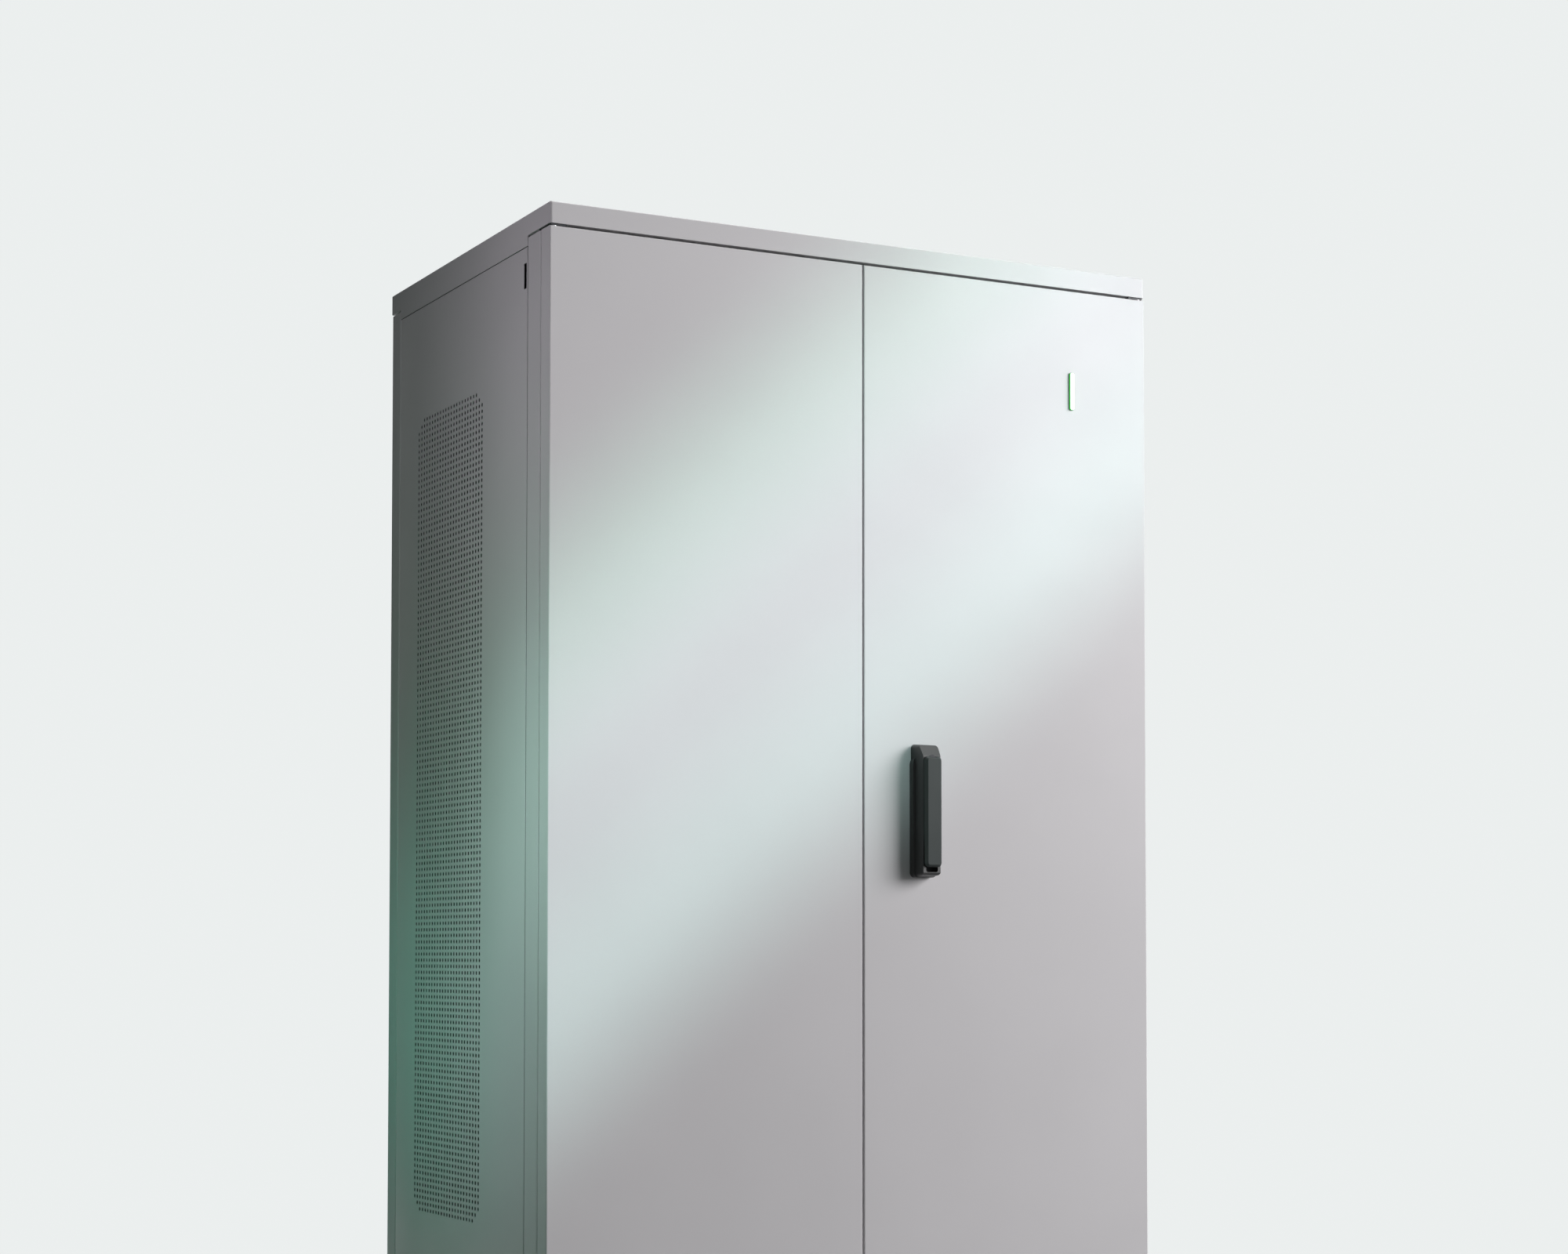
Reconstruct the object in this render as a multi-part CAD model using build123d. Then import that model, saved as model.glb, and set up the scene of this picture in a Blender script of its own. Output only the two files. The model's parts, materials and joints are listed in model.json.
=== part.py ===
from build123d import *
import math
import os

# Battery cabinet: a frame with two doors, perforated side panels, two bays of battery modules,
# and a swing handle that drives two lock rods through a pinion.
# Millimetres. Origin on the floor at the middle of the footprint, X to the right, doors towards -Y.

# Overall size
width = 1200.0
depth = 800.0
height = 2000.0

# Sheet metal
sheet = 2.0
frame_wall = 2.5
post_edge_radius = 3.0

# How far a cutter passes the face it opens
overrun = 1.0

# Base and roof
base_height = 40.0
base_wall = 3.0
base_flange = 90.0
roof_height = 37.0
roof_flange = 30.0
roof_corner_radius = 5.0
roof_edge_radius = 2.5
shadow_gap = 4.5
ring_inset = 12.0
ring_width = 60.0

# Posts and rails
post_width = 45.0
front_post_depth = 57.0
rear_post_depth = 46.0
rear_inset = 7.0
centre_post_width = 50.0
top_rail_height = 50.0
side_rail_height = 18.0
side_rail_flange = 25.0

# Doors
door_depth = 40.0
door_gap = 3.0
door_edge_radius = 2.0
door_fold_radius = 3.0
door_lip = 25.0
stiffener_width = 60.0
stiffener_flange = 15.0
stiffener_depth = 26.0
stiffener_end = 80.0
gasket_width = 10.0
gasket_thickness = 2.2
gasket_inset = 8.0

# Door hinges
hinge_offset = 10.0
hinge_pin_radius = 4.0
hinge_pin_length = 18.0
hinge_collar_radius = 6.5
hinge_collar_gap = 0.2
hinge_plate = 3.0
hinge_plate_width = 30.0
hinge_plate_inset = 2.5
bracket_gap = 0.5
bush_length = 14.0
running_clearance = 0.05
pass_clearance = 0.6

# Side panels
panel_gap = 1.5
panel_return = 12.0
grille_columns = 24
grille_tiers = 4
grille_pitch = 14.2
grille_slot_width = 6.5
grille_bridge = 16.0
grille_bottom_margin = 205.0
grille_top_margin = 209.0
grille_front_margin = 205.0
finger_slot_width = 12.0
finger_slot_height = 44.0
finger_slot_drop = 27.0
finger_slot_inset = 2.5

# Swing handle
handle_offset = 117.8
handle_bottom = 868.0
handle_height = 238.0
handle_flange_width = 48.0
handle_flange_height = 12.0
handle_flange_drop = 16.0
handle_flange_top_radius = 22.0
handle_flange_low_radius = 9.0
handle_body_width = 43.0
handle_body_radius = 8.0
handle_body_taper = 6.0
handle_base_height = 38.0
handle_slope_rise = 15.0
handle_slope_length = 22.0
handle_chin = 8.0
recess_width = 24.0
recess_height = 42.0
recess_depth = 22.0
recess_margin = 9.0
recess_radius = 4.0
lever_width = 34.0
lever_length = 197.0
lever_thickness = 9.5
lever_gap = 0.5
lever_chamfer_width = 4.0
lever_chamfer_depth = 5.5
lever_corner_radius = 8.0
lever_tip_lift = 3.0
lever_bend_rise = 65.0
lever_pin_radius = 1.75
lever_slot_reach = 11.0
tongue_thickness = 10.0
tongue_wall = 1.2
tongue_clearance = 0.3
spindle_radius = 8.0

# Rod lock: pinion on the spindle between two racks
gear_module = 1.5
gear_teeth = 18
gear_width = 8.0
gear_setback = 12.0
pressure_angle = 20.0
root_factor = 1.25
flank_steps = 3
backlash = 0.2
rack_addendum = 1.35
rack_teeth = 9
rack_first_tooth = 1.5
rod_width = 9.0
rod_tail = 13.0
rod_reach = 1.0
rod_guide_wall = 5.0
rod_guide_length = 24.0
rod_guide_setback = 48.0
rod_guide_clearance = 0.3
gearbox_wall = 5.0
gearbox_height = 56.0
gearbox_clearance = 0.5

# Status light on the right door
light_offset = 437.7
light_top_margin = 152.0
light_width = 11.0
light_height = 71.0
light_rim = 1.2
light_corner_radius = 4.4
light_proud = 5.0
light_body_depth = 12.0

# Slide bolts on the left door
bolt_offset = 50.0
bolt_radius = 5.0
bolt_length = 100.0
bolt_guide_size = 24.0
bolt_guide_length = 18.0
bolt_guide_back = 8.0
bolt_knob_radius = 4.0
bolt_knob_length = 12.0
bolt_setback = 20.0
bolt_guide_setback = 10.0
keeper_clearance = 1.0

# Rack for the battery modules
rack_setback = 130.0
rack_flange = 42.0
rack_rail_foot = 60.0
module_count = 8
module_floor = 150.0
rack_headroom = 336.1
module_side_gap = 44.0
module_height = 133.0
module_depth = 560.0
front_plate_side_gap = 23.7
front_plate_thickness = 3.0
runner_flange = 60.0
runner_web = 40.0
unit_height = 168.0
unit_depth = 400.0

# Module fronts
grip_height = 90.0
grip_reach = 34.0
grip_bar = 9.0
grip_offset = 195.0
terminal_offset = 140.0
terminal_flats = 17.0
link_width = 22.0
link_thickness = 3.0
link_setback = 8.0
link_end = 12.0
bus_rise = 70.0
bus_spacing = 60.0
bus_lug = 30.0
notch_clearance = 5.0

# Breaker and control unit
breaker_width = 92.0
breaker_height = 132.0
breaker_depth = 30.0
window_width = 30.0
window_height = 64.0
window_depth = 22.0
toggle_hub_radius = 9.0
toggle_setback = 11.0
toggle_reach = 30.0
toggle_thickness = 9.0
toggle_angle = 25.0
trunnion_radius = 3.0
trunnion_length = 4.0
button_radius = 8.0
button_proud = 4.0
button_depth = 10.0
button_well = 14.0
button_offset = 170.0

# Floor plate, earth bar and fixings
cable_slot_length = 300.0
cable_slot_width = 60.0
cable_slot_setback = 60.0
trim_height = 5.0
trim_width = 6.0
earth_bar_length = 300.0
earth_bar_height = 25.0
earth_bar_thickness = 6.0
earth_bar_rise = 20.0
earth_foot = 20.0
earth_bolt_count = 6
floor_bolt_radius = 7.0
floor_bolt_access = 10.0
floor_bolt_inset_x = 65.0
floor_bolt_inset_y = 55.0
lifting_inset = 60.0
lifting_nut_radius = 10.0
lifting_nut_height = 18.0
lifting_thread_radius = 5.1
hex_flats = 10.0
hex_height = 4.0
screw_rows = 4

# Places worked out from the sizes above
left = -width / 2
right = width / 2
front = -depth / 2
back = depth / 2
roof_bottom = height - roof_height
post_top = roof_bottom - shadow_gap
door_top = post_top
door_bottom = base_height + shadow_gap
door_back = front + door_depth
frame_front = door_back + door_gap
front_post_back = frame_front + front_post_depth
frame_back = back - rear_inset
rear_post_front = frame_back - rear_post_depth
bay_low = centre_post_width / 2
bay_high = right - post_width
bay_middle = (bay_low + bay_high) / 2
rail_low = post_top - top_rail_height
rack_front = front + rack_setback
plate_front = rack_front - front_plate_thickness
side_rail_top = base_height + side_rail_height
side_rail_low = roof_bottom - side_rail_height
hinge_x = right - hinge_offset
hinge_y = front + hinge_offset
skin_back = front + sheet
pinion_radius = gear_module * gear_teeth / 2
root_depth = root_factor * gear_module
base_face = front - handle_base_height
lever_back = base_face - lever_gap
lever_front = lever_back - lever_thickness
lever_half = lever_thickness / 2
pin_y = (lever_back + lever_front) / 2
lever_top = handle_bottom + handle_height - handle_slope_length - tongue_wall
spindle_z = lever_top - lever_half
lever_bottom = lever_top - lever_length
gear_front = skin_back + gear_setback
gear_back = gear_front + gear_width
rod_near = pinion_radius + root_depth
rod_far = rod_near + rod_width
bolt_y = front + bolt_setback
module_width = bay_high - bay_low - 2 * module_side_gap
front_plate_width = bay_high - bay_low - 2 * front_plate_side_gap
unit_floor = rail_low - rack_headroom
module_pitch = (unit_floor - module_floor) / module_count
level_heights = [module_floor + level * module_pitch for level in range(module_count + 1)]
light_bottom = door_top - light_top_margin - light_height
grille_bottom = side_rail_top + grille_bottom_margin
grille_top = side_rail_low - panel_gap - grille_top_margin
link_y = plate_front - link_setback
rail_floor = base_height + sheet
first_terminal = level_heights[0] + module_height / 2
last_terminal = level_heights[module_count - 1] + module_height / 2
crossing_heights = [first_terminal, last_terminal + bus_rise]
breaker_middle = unit_floor + unit_height / 2
breaker_front = plate_front - breaker_depth
toggle_y = breaker_front + toggle_setback
earth_y = frame_front + earth_foot


def block(x_low, x_high, y_low, y_high, z_low, z_high):
    """A box between two corners."""
    middle = Pos((x_low + x_high) / 2, (y_low + y_high) / 2, (z_low + z_high) / 2)
    return middle * Box(x_high - x_low, y_high - y_low, z_high - z_low)


def post_along_z(x, y, radius, z_low, z_high):
    """An upright cylinder."""
    return Pos(x, y, (z_low + z_high) / 2) * Cylinder(radius, z_high - z_low)


def shaft_along_y(x, z, radius, y_low, y_high):
    """A cylinder that runs front to back."""
    return Pos(x, (y_low + y_high) / 2, z) * Rot(90, 0, 0) * Cylinder(radius, y_high - y_low)


def shaft_along_x(y, z, radius, x_low, x_high):
    """A cylinder that runs from side to side."""
    return Pos((x_low + x_high) / 2, y, z) * Rot(0, 90, 0) * Cylinder(radius, x_high - x_low)


def facing_front(x, y, z):
    """An upright plane that looks forwards."""
    return Plane(origin=(x, y, z), x_dir=(1, 0, 0), z_dir=(0, -1, 0))


def facing_right(x):
    """An upright plane that looks to the right, with local axes along Y and Z."""
    return Plane(origin=(x, 0, 0), x_dir=(0, 1, 0), z_dir=(1, 0, 0))


def hex_along_y(x, z, flats, y_low, y_high):
    """A hexagon prism that runs front to back."""
    outline = facing_front(x, y_high, z) * RegularPolygon(flats / 2, 6, major_radius=False)
    return extrude(outline, amount=y_high - y_low)


def tube(x_low, x_high, y_low, y_high, z_low, z_high, wall, along):
    """A rectangular hollow section, open at both ends of the named axis."""
    inner = [wall, wall, wall]
    inner[along] = -wall
    hollow = block(
        x_low + inner[0], x_high - inner[0],
        y_low + inner[1], y_high - inner[1],
        z_low + inner[2], z_high - inner[2],
    )
    return block(x_low, x_high, y_low, y_high, z_low, z_high) - hollow


def flipped(shape):
    """The same piece on the other side of the middle plane."""
    return mirror(shape, about=Plane.YZ)


def both_sides(shape):
    return [shape, flipped(shape)]


def save(name, *shapes):
    """Write one node: a solid, or a group of separate solids."""
    solids = []
    for shape in shapes:
        solids.extend(shape.solids())
    node = solids[0] if len(solids) == 1 else Compound(children=solids)
    export_step(node, f"parts/{name}.step")


# Frame

def base_frame():
    """A ring of channel that opens inwards, with floor bolt holes and access holes above them."""
    ring = block(left, right, front, back, 0, base_height)
    ring -= block(
        left + base_wall, right - base_wall, front + base_wall, back - base_wall,
        base_wall, base_height - base_wall,
    )
    ring -= block(
        left + base_flange, right - base_flange, front + base_flange, back - base_flange,
        -overrun, base_height + overrun,
    )
    for x in (left + floor_bolt_inset_x, right - floor_bolt_inset_x):
        for y in (front + floor_bolt_inset_y, back - floor_bolt_inset_y):
            ring -= post_along_z(x, y, floor_bolt_radius, -overrun, base_wall + overrun)
            ring -= post_along_z(x, y, floor_bolt_access,
                                 base_height - base_wall - overrun, base_height + overrun)
    for hole in lock_holes(base_height - base_wall - overrun, base_height + overrun):
        ring -= hole
    return ring


def lock_holes(z_low, z_high):
    """Cutters for the holes that the slide bolts and the lock rods enter."""
    half = bolt_radius + keeper_clearance
    cutters = [block(-bolt_offset - half, -bolt_offset + half, bolt_y - half, bolt_y + half, z_low, z_high)]
    for side in (-1, 1):
        low = handle_offset + side * rod_near
        high = handle_offset + side * rod_far
        cutters.append(block(
            min(low, high) - keeper_clearance, max(low, high) + keeper_clearance,
            gear_front - keeper_clearance, gear_back + keeper_clearance, z_low, z_high,
        ))
    return cutters


def corner_post(y_low, y_high):
    """A hollow section with rounded upright edges on its outer side."""
    post = tube(left, left + post_width, y_low, y_high, base_height, post_top, frame_wall, 2)
    outer_edges = post.faces().sort_by(Axis.X)[0].edges().filter_by(Axis.Z)
    return fillet(outer_edges, post_edge_radius)


def centre_post(y_low, y_high):
    return tube(-bay_low, bay_low, y_low, y_high, base_height, rail_low, frame_wall, 2)


def top_rail(y_low, y_high):
    return tube(-bay_high, bay_high, y_low, y_high, rail_low, post_top, frame_wall, 0)


def top_ring():
    """The flat ring on the posts that the roof stands on."""
    x_side = right - ring_inset
    y_low = frame_front + ring_inset
    y_high = frame_back - ring_inset
    plate = block(-x_side, x_side, y_low, y_high, post_top, roof_bottom)
    return plate - block(
        -x_side + ring_width, x_side - ring_width, y_low + ring_width, y_high - ring_width,
        post_top - overrun, roof_bottom + overrun,
    )


def side_rails():
    """The strips that show above and below a side panel, each folded inwards at the panel."""
    top = block(left, left + side_rail_flange, front_post_back, rear_post_front,
                side_rail_low, roof_bottom)
    top -= block(left + frame_wall, left + side_rail_flange + overrun,
                 front_post_back - overrun, rear_post_front + overrun,
                 side_rail_low + frame_wall, roof_bottom + overrun)
    bottom = block(left, left + side_rail_flange, front_post_back, rear_post_front,
                   base_height, side_rail_top)
    bottom -= block(left + frame_wall, left + side_rail_flange + overrun,
                    front_post_back - overrun, rear_post_front + overrun,
                    base_height - overrun, side_rail_top - frame_wall)
    return both_sides(top) + both_sides(bottom)


def lifting_places():
    places = []
    for x in (left + lifting_inset, right - lifting_inset):
        for y in (front + lifting_inset, back - lifting_inset):
            places.append((x, y))
    return places


def roof_cap():
    """A folded tray, open below, with a flange that rests on the ring."""
    outside = block(left, right, front, back, roof_bottom, height)
    outside = fillet(outside.edges().filter_by(Axis.Z), roof_corner_radius)
    outside = fillet(outside.edges().group_by(Axis.Z)[-1], roof_edge_radius)
    outside -= block(left + sheet, right - sheet, front + sheet, back - sheet,
                     roof_bottom + sheet, height - sheet)
    outside -= block(left + roof_flange, right - roof_flange, front + roof_flange, back - roof_flange,
                     roof_bottom - overrun, roof_bottom + sheet + overrun)
    for x, y in lifting_places():
        outside -= post_along_z(x, y, lifting_thread_radius, height - sheet - overrun, height + overrun)
    for hole in lock_holes(roof_bottom - overrun, roof_bottom + sheet + overrun):
        outside -= hole
    return outside


def lifting_nuts():
    nuts = []
    for x, y in lifting_places():
        nut_top = height - sheet
        nut = post_along_z(x, y, lifting_nut_radius, nut_top - lifting_nut_height, nut_top)
        nut -= post_along_z(x, y, lifting_thread_radius,
                            nut_top - lifting_nut_height - overrun, nut_top + overrun)
        nuts.append(nut)
    return nuts


# Panels

def side_panel():
    """A folded sheet with a slotted field for air and a finger slot, on the left side."""
    y_low = front_post_back + panel_gap
    y_high = rear_post_front - panel_gap
    z_low = side_rail_top
    z_high = side_rail_low - panel_gap
    panel = block(left, left + panel_return, y_low, y_high, z_low, z_high)
    panel = fillet(panel.faces().sort_by(Axis.X)[0].edges(), sheet / 2)
    panel -= block(left + sheet, left + panel_return + overrun, y_low + sheet, y_high - sheet,
                   z_low + sheet, z_high - sheet)
    tier = (grille_top - grille_bottom + grille_bridge) / grille_tiers
    slot_height = tier - grille_bridge
    slots = []
    for column in range(grille_columns):
        y = y_low + grille_front_margin + (column + 0.5) * grille_pitch
        for row in range(grille_tiers):
            z = grille_bottom + row * tier + slot_height / 2
            slots.append(Pos(y, z) * Rectangle(grille_slot_width, slot_height))
    finger_y = y_low + finger_slot_inset + finger_slot_width / 2
    finger_z = z_high - finger_slot_drop - finger_slot_height / 2
    slots.append(Pos(finger_y, finger_z) * Rectangle(finger_slot_width, finger_slot_height))
    cutter = extrude(facing_right(left - overrun) * Sketch(children=slots), amount=sheet + 2 * overrun)
    return panel - cutter


def rear_panel():
    """The left half of the back."""
    return block(left + panel_gap, -panel_gap / 2, frame_back, frame_back + sheet,
                 door_bottom, door_top)


def rear_panel_screws():
    """Hexagon heads along the upright edges of both rear panels."""
    heads = []
    y_low = frame_back + sheet
    span = door_top - door_bottom
    for row in range(screw_rows):
        z = door_bottom + span * (row + 0.5) / screw_rows
        for x in (left + post_width / 2, -bay_low / 2):
            head = hex_along_y(x, z, hex_flats, y_low, y_low + hex_height)
            heads.extend(both_sides(head))
    return heads


def cable_slot(side):
    """The outline of one cable slot: x low, x high, y low, y high."""
    middle = side * bay_middle
    y_low = front_post_back + cable_slot_setback
    return (middle - cable_slot_length / 2, middle + cable_slot_length / 2,
            y_low, y_low + cable_slot_width)


def floor_plate():
    plate = block(left + post_width + panel_gap, right - post_width - panel_gap,
                  front_post_back + panel_gap, rear_post_front - panel_gap,
                  base_height, base_height + sheet)
    for side in (-1, 1):
        plate -= block(*cable_slot(side), base_height - overrun, base_height + sheet + overrun)
    return plate


def cable_edge_trims():
    """A rubber frame round each cable slot."""
    trims = []
    for side in (-1, 1):
        x_low, x_high, y_low, y_high = cable_slot(side)
        z_low = base_height + sheet
        frame = block(x_low - trim_width, x_high + trim_width, y_low - trim_width, y_high + trim_width,
                      z_low, z_low + trim_height)
        trims.append(frame - block(x_low, x_high, y_low, y_high,
                                   z_low - overrun, z_low + trim_height + overrun))
    return trims


# Rack and battery modules

def at_bays(shape):
    """A piece of the right bay, and its copy in the left bay."""
    return [shape, Pos(-2 * bay_middle, 0, 0) * shape]


def rack_rails():
    """Upright angles beside the modules, fixed to the posts, which the front plates close against."""
    rails = []
    for x_wall, side in ((bay_high, -1), (bay_low, 1)):
        foot = sorted((x_wall, x_wall + side * frame_wall))
        flange = sorted((x_wall, x_wall + side * rack_flange))
        rail = block(*foot, rack_front - rack_rail_foot, rack_front, rail_floor, rail_low)
        rail += block(*flange, rack_front, rack_front + frame_wall, rail_floor, rail_low)
        if x_wall == bay_low:
            for z in crossing_heights:
                rail -= block(foot[0] - overrun, foot[1] + overrun,
                              link_y - link_thickness - notch_clearance, link_y + notch_clearance,
                              z - link_width / 2 - notch_clearance, z + link_width / 2 + notch_clearance)
        rails.append(rail)
    return [rail for one in rails for rail in both_sides(one)]


def module_runners():
    """Angles from the rack rails to the rear posts, one pair under each module and unit."""
    runners = []
    y_low = rack_front + frame_wall
    y_high = frame_back - rear_post_depth / 2
    for z in level_heights:
        for x_wall, side in ((bay_high, -1), (bay_low, 1)):
            web = sorted((x_wall, x_wall + side * frame_wall))
            shelf = sorted((x_wall, x_wall + side * runner_flange))
            runner = block(*web, y_low, y_high, z - runner_web, z)
            runner += block(*shelf, y_low, y_high, z - frame_wall, z)
            runners.extend(both_sides(runner))
    return runners


def battery_modules(side):
    cases = []
    for z in level_heights[:-1]:
        middle = side * bay_middle
        cases.append(block(middle - module_width / 2, middle + module_width / 2,
                           rack_front, rack_front + module_depth, z, z + module_height))
    return cases


def front_plate(z, plate_height):
    return block(bay_middle - front_plate_width / 2, bay_middle + front_plate_width / 2,
                 plate_front, rack_front, z, z + plate_height)


def module_fronts():
    return [plate for z in level_heights[:-1] for plate in at_bays(front_plate(z, module_height))]


def module_grip(x, z):
    """A pull handle: a flat bar bent into a bow."""
    outside = block(x - grip_bar / 2, x + grip_bar / 2, plate_front - grip_reach, plate_front,
                    z - grip_height / 2, z + grip_height / 2)
    return outside - block(x - grip_bar, x + grip_bar,
                           plate_front - grip_reach + grip_bar, plate_front + overrun,
                           z - grip_height / 2 + grip_bar, z + grip_height / 2 - grip_bar)


def module_grips():
    grips = []
    for z in level_heights[:-1]:
        for side in (-1, 1):
            x = bay_middle + side * grip_offset
            grips.extend(at_bays(module_grip(x, z + module_height / 2)))
    return grips


def terminal(x, z):
    return hex_along_y(x, z, terminal_flats, plate_front - link_setback, plate_front)


def module_terminals():
    """Two terminals on each module, and two on the switchgear."""
    posts = []
    for z in level_heights[:-1]:
        for side in (-1, 1):
            posts.extend(at_bays(terminal(bay_middle + side * terminal_offset, z + module_height / 2)))
    inner = bay_middle - terminal_offset
    posts.append(terminal(inner, unit_floor + bus_lug))
    posts.append(terminal(inner - bus_spacing, unit_floor + bus_lug))
    return posts


def upright_bar(x, z_low, z_high):
    return block(x - link_width / 2, x + link_width / 2, link_y - link_thickness, link_y,
                 z_low - link_end, z_high + link_end)


def level_bar(x_low, x_high, z):
    return block(x_low - link_end, x_high + link_end, link_y - link_thickness, link_y,
                 z - link_width / 2, z + link_width / 2)


def module_link_bars():
    """Bars that join each module to the next, on alternate sides."""
    bars = []
    for level in range(module_count - 1):
        side = 1 if level % 2 == 0 else -1
        z = level_heights[level] + module_height / 2
        bars.extend(both_sides(upright_bar(bay_middle + side * terminal_offset, z, z + module_pitch)))
    return bars


def busbars():
    """The link between the bays, and the two bars up to the switchgear."""
    inner = bay_middle - terminal_offset
    rise = crossing_heights[1]
    bay_link = level_bar(-inner, inner, first_terminal)
    negative = upright_bar(inner, last_terminal, unit_floor + bus_lug)
    positive = upright_bar(-inner, last_terminal, rise)
    positive += level_bar(-inner, inner - bus_spacing, rise)
    positive += upright_bar(inner - bus_spacing, rise, unit_floor + bus_lug)
    return [bay_link, negative, positive]


def busbar_supports():
    """Insulators between the front centre post and the two bars that cross it."""
    return [shaft_along_y(0, z, link_width / 2, front_post_back, link_y - link_thickness)
            for z in crossing_heights]


def control_unit():
    """The electronics drawer of the left bay, with a well for its button."""
    x_middle = -bay_middle
    box = block(x_middle - module_width / 2, x_middle + module_width / 2,
                rack_front, rack_front + unit_depth, unit_floor, unit_floor + unit_height)
    plate = block(x_middle - front_plate_width / 2, x_middle + front_plate_width / 2,
                  plate_front, rack_front, unit_floor, unit_floor + unit_height)
    unit = box + plate
    return unit - shaft_along_y(x_middle + button_offset, unit_floor + unit_height / 2,
                                button_radius + running_clearance, plate_front - overrun,
                                plate_front + button_well)


def power_button():
    return shaft_along_y(button_offset - bay_middle, unit_floor + unit_height / 2, button_radius,
                         plate_front - button_proud, plate_front + button_depth)


def switchgear_box():
    box = block(bay_middle - module_width / 2, bay_middle + module_width / 2,
                rack_front, rack_front + unit_depth, unit_floor, unit_floor + unit_height)
    return box + front_plate(unit_floor, unit_height)


def main_breaker():
    """A moulded case with a window, and bearings for the toggle in the window's side walls."""
    case = block(bay_middle - breaker_width / 2, bay_middle + breaker_width / 2,
                 breaker_front, plate_front,
                 breaker_middle - breaker_height / 2, breaker_middle + breaker_height / 2)
    case -= block(bay_middle - window_width / 2, bay_middle + window_width / 2,
                  breaker_front - overrun, breaker_front + window_depth,
                  breaker_middle - window_height / 2, breaker_middle + window_height / 2)
    reach = window_width / 2 + trunnion_length + running_clearance
    return case - shaft_along_x(toggle_y, breaker_middle, trunnion_radius + running_clearance,
                                bay_middle - reach, bay_middle + reach)


def breaker_toggle():
    """A hub on two trunnions with a finger tab, thrown up."""
    half = window_width / 2 - pass_clearance
    reach = window_width / 2 + trunnion_length - running_clearance
    toggle = shaft_along_x(0, 0, toggle_hub_radius, -half, half)
    toggle += shaft_along_x(0, 0, trunnion_radius, -reach, reach)
    toggle += block(-half + pass_clearance, half - pass_clearance, -toggle_reach, 0,
                    -toggle_thickness / 2, toggle_thickness / 2)
    return Pos(bay_middle, toggle_y, breaker_middle) * Rot(-toggle_angle, 0, 0) * toggle


def earth_bar():
    """A copper bar in front of the right bay, bent down to a foot at each end."""
    x_low = bay_middle - earth_bar_length / 2
    x_high = bay_middle + earth_bar_length / 2
    z_low = base_height + earth_bar_rise
    bar = block(x_low, x_high, earth_y, earth_y + earth_bar_thickness, z_low, z_low + earth_bar_height)
    for x in (x_low, x_high - earth_foot):
        bar += block(x, x + earth_foot, earth_y, earth_y + earth_bar_thickness, base_height, z_low + overrun)
        bar += block(x, x + earth_foot, earth_y, earth_y + earth_foot,
                     base_height, base_height + frame_wall)
    return bar


def earth_bolts():
    bolts = []
    step = earth_bar_length / earth_bolt_count
    z = base_height + earth_bar_rise + earth_bar_height / 2
    for number in range(earth_bolt_count):
        x = bay_middle - earth_bar_length / 2 + (number + 0.5) * step
        bolts.append(hex_along_y(x, z, hex_flats, earth_y - hex_height, earth_y))
    return bolts


# Doors, modelled as the right door and flipped for the left one

def door_pan():
    """A folded pan with a lip all round its open back and holes for the hinge pins."""
    pan = block(door_gap / 2, right, front, door_back, door_bottom, door_top)
    front_edges = pan.faces().sort_by(Axis.Y)[0].edges()
    pan = fillet(front_edges, door_edge_radius)
    fold_edges = pan.faces().sort_by(Axis.Y)[-1].edges()
    pan = fillet(fold_edges, door_fold_radius)
    pan -= block(door_gap / 2 + sheet, right - sheet, skin_back, door_back - sheet,
                 door_bottom + sheet, door_top - sheet)
    pan -= block(door_gap / 2 + door_lip, right - door_lip, door_back - sheet - overrun, door_back + overrun,
                 door_bottom + door_lip, door_top - door_lip)
    for z in (door_bottom, door_top):
        pan -= post_along_z(hinge_x, hinge_y, hinge_pin_radius + pass_clearance,
                            z - sheet - overrun, z + sheet + overrun)
    return pan


def right_door():
    door = door_pan()
    door -= shaft_along_y(handle_offset, spindle_z, spindle_radius + pass_clearance,
                          front - overrun, skin_back + overrun)
    door -= block(light_offset - light_width / 2 + light_rim, light_offset + light_width / 2 - light_rim,
                  front - overrun, skin_back + overrun,
                  light_bottom + light_rim, light_bottom + light_height - light_rim)
    for hole in lock_rod_holes():
        door -= hole
    return door


def lock_rod_holes():
    """Cutters for the slots in the right door's top and bottom folds."""
    cutters = []
    for side, z in ((-1, door_top), (1, door_bottom)):
        low, high = sorted((handle_offset + side * rod_near, handle_offset + side * rod_far))
        cutters.append(block(low - pass_clearance, high + pass_clearance,
                             gear_front - pass_clearance, gear_back + pass_clearance,
                             z - sheet - overrun, z + sheet + overrun))
    return cutters


def left_door():
    door = flipped(door_pan())
    for z in (door_bottom, door_top):
        door -= post_along_z(-bolt_offset, bolt_y, bolt_radius + pass_clearance,
                             z - sheet - overrun, z + sheet + overrun)
    return door


def door_stiffener():
    """A hat section up the middle of the door."""
    middle = right / 2
    flange = stiffener_flange
    z_low = door_bottom + stiffener_end
    z_high = door_top - stiffener_end
    hat = block(middle - stiffener_width / 2, middle + stiffener_width / 2,
                skin_back, skin_back + stiffener_depth, z_low, z_high)
    hat -= block(middle - stiffener_width / 2 + flange + sheet, middle + stiffener_width / 2 - flange - sheet,
                 skin_back - overrun, skin_back + stiffener_depth - sheet, z_low - overrun, z_high + overrun)
    for side in (-1, 1):
        edge = middle + side * stiffener_width / 2
        low, high = sorted((edge + side, edge - side * flange))
        hat -= block(low, high, skin_back + sheet, skin_back + stiffener_depth + overrun,
                     z_low - overrun, z_high + overrun)
    return hat


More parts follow.
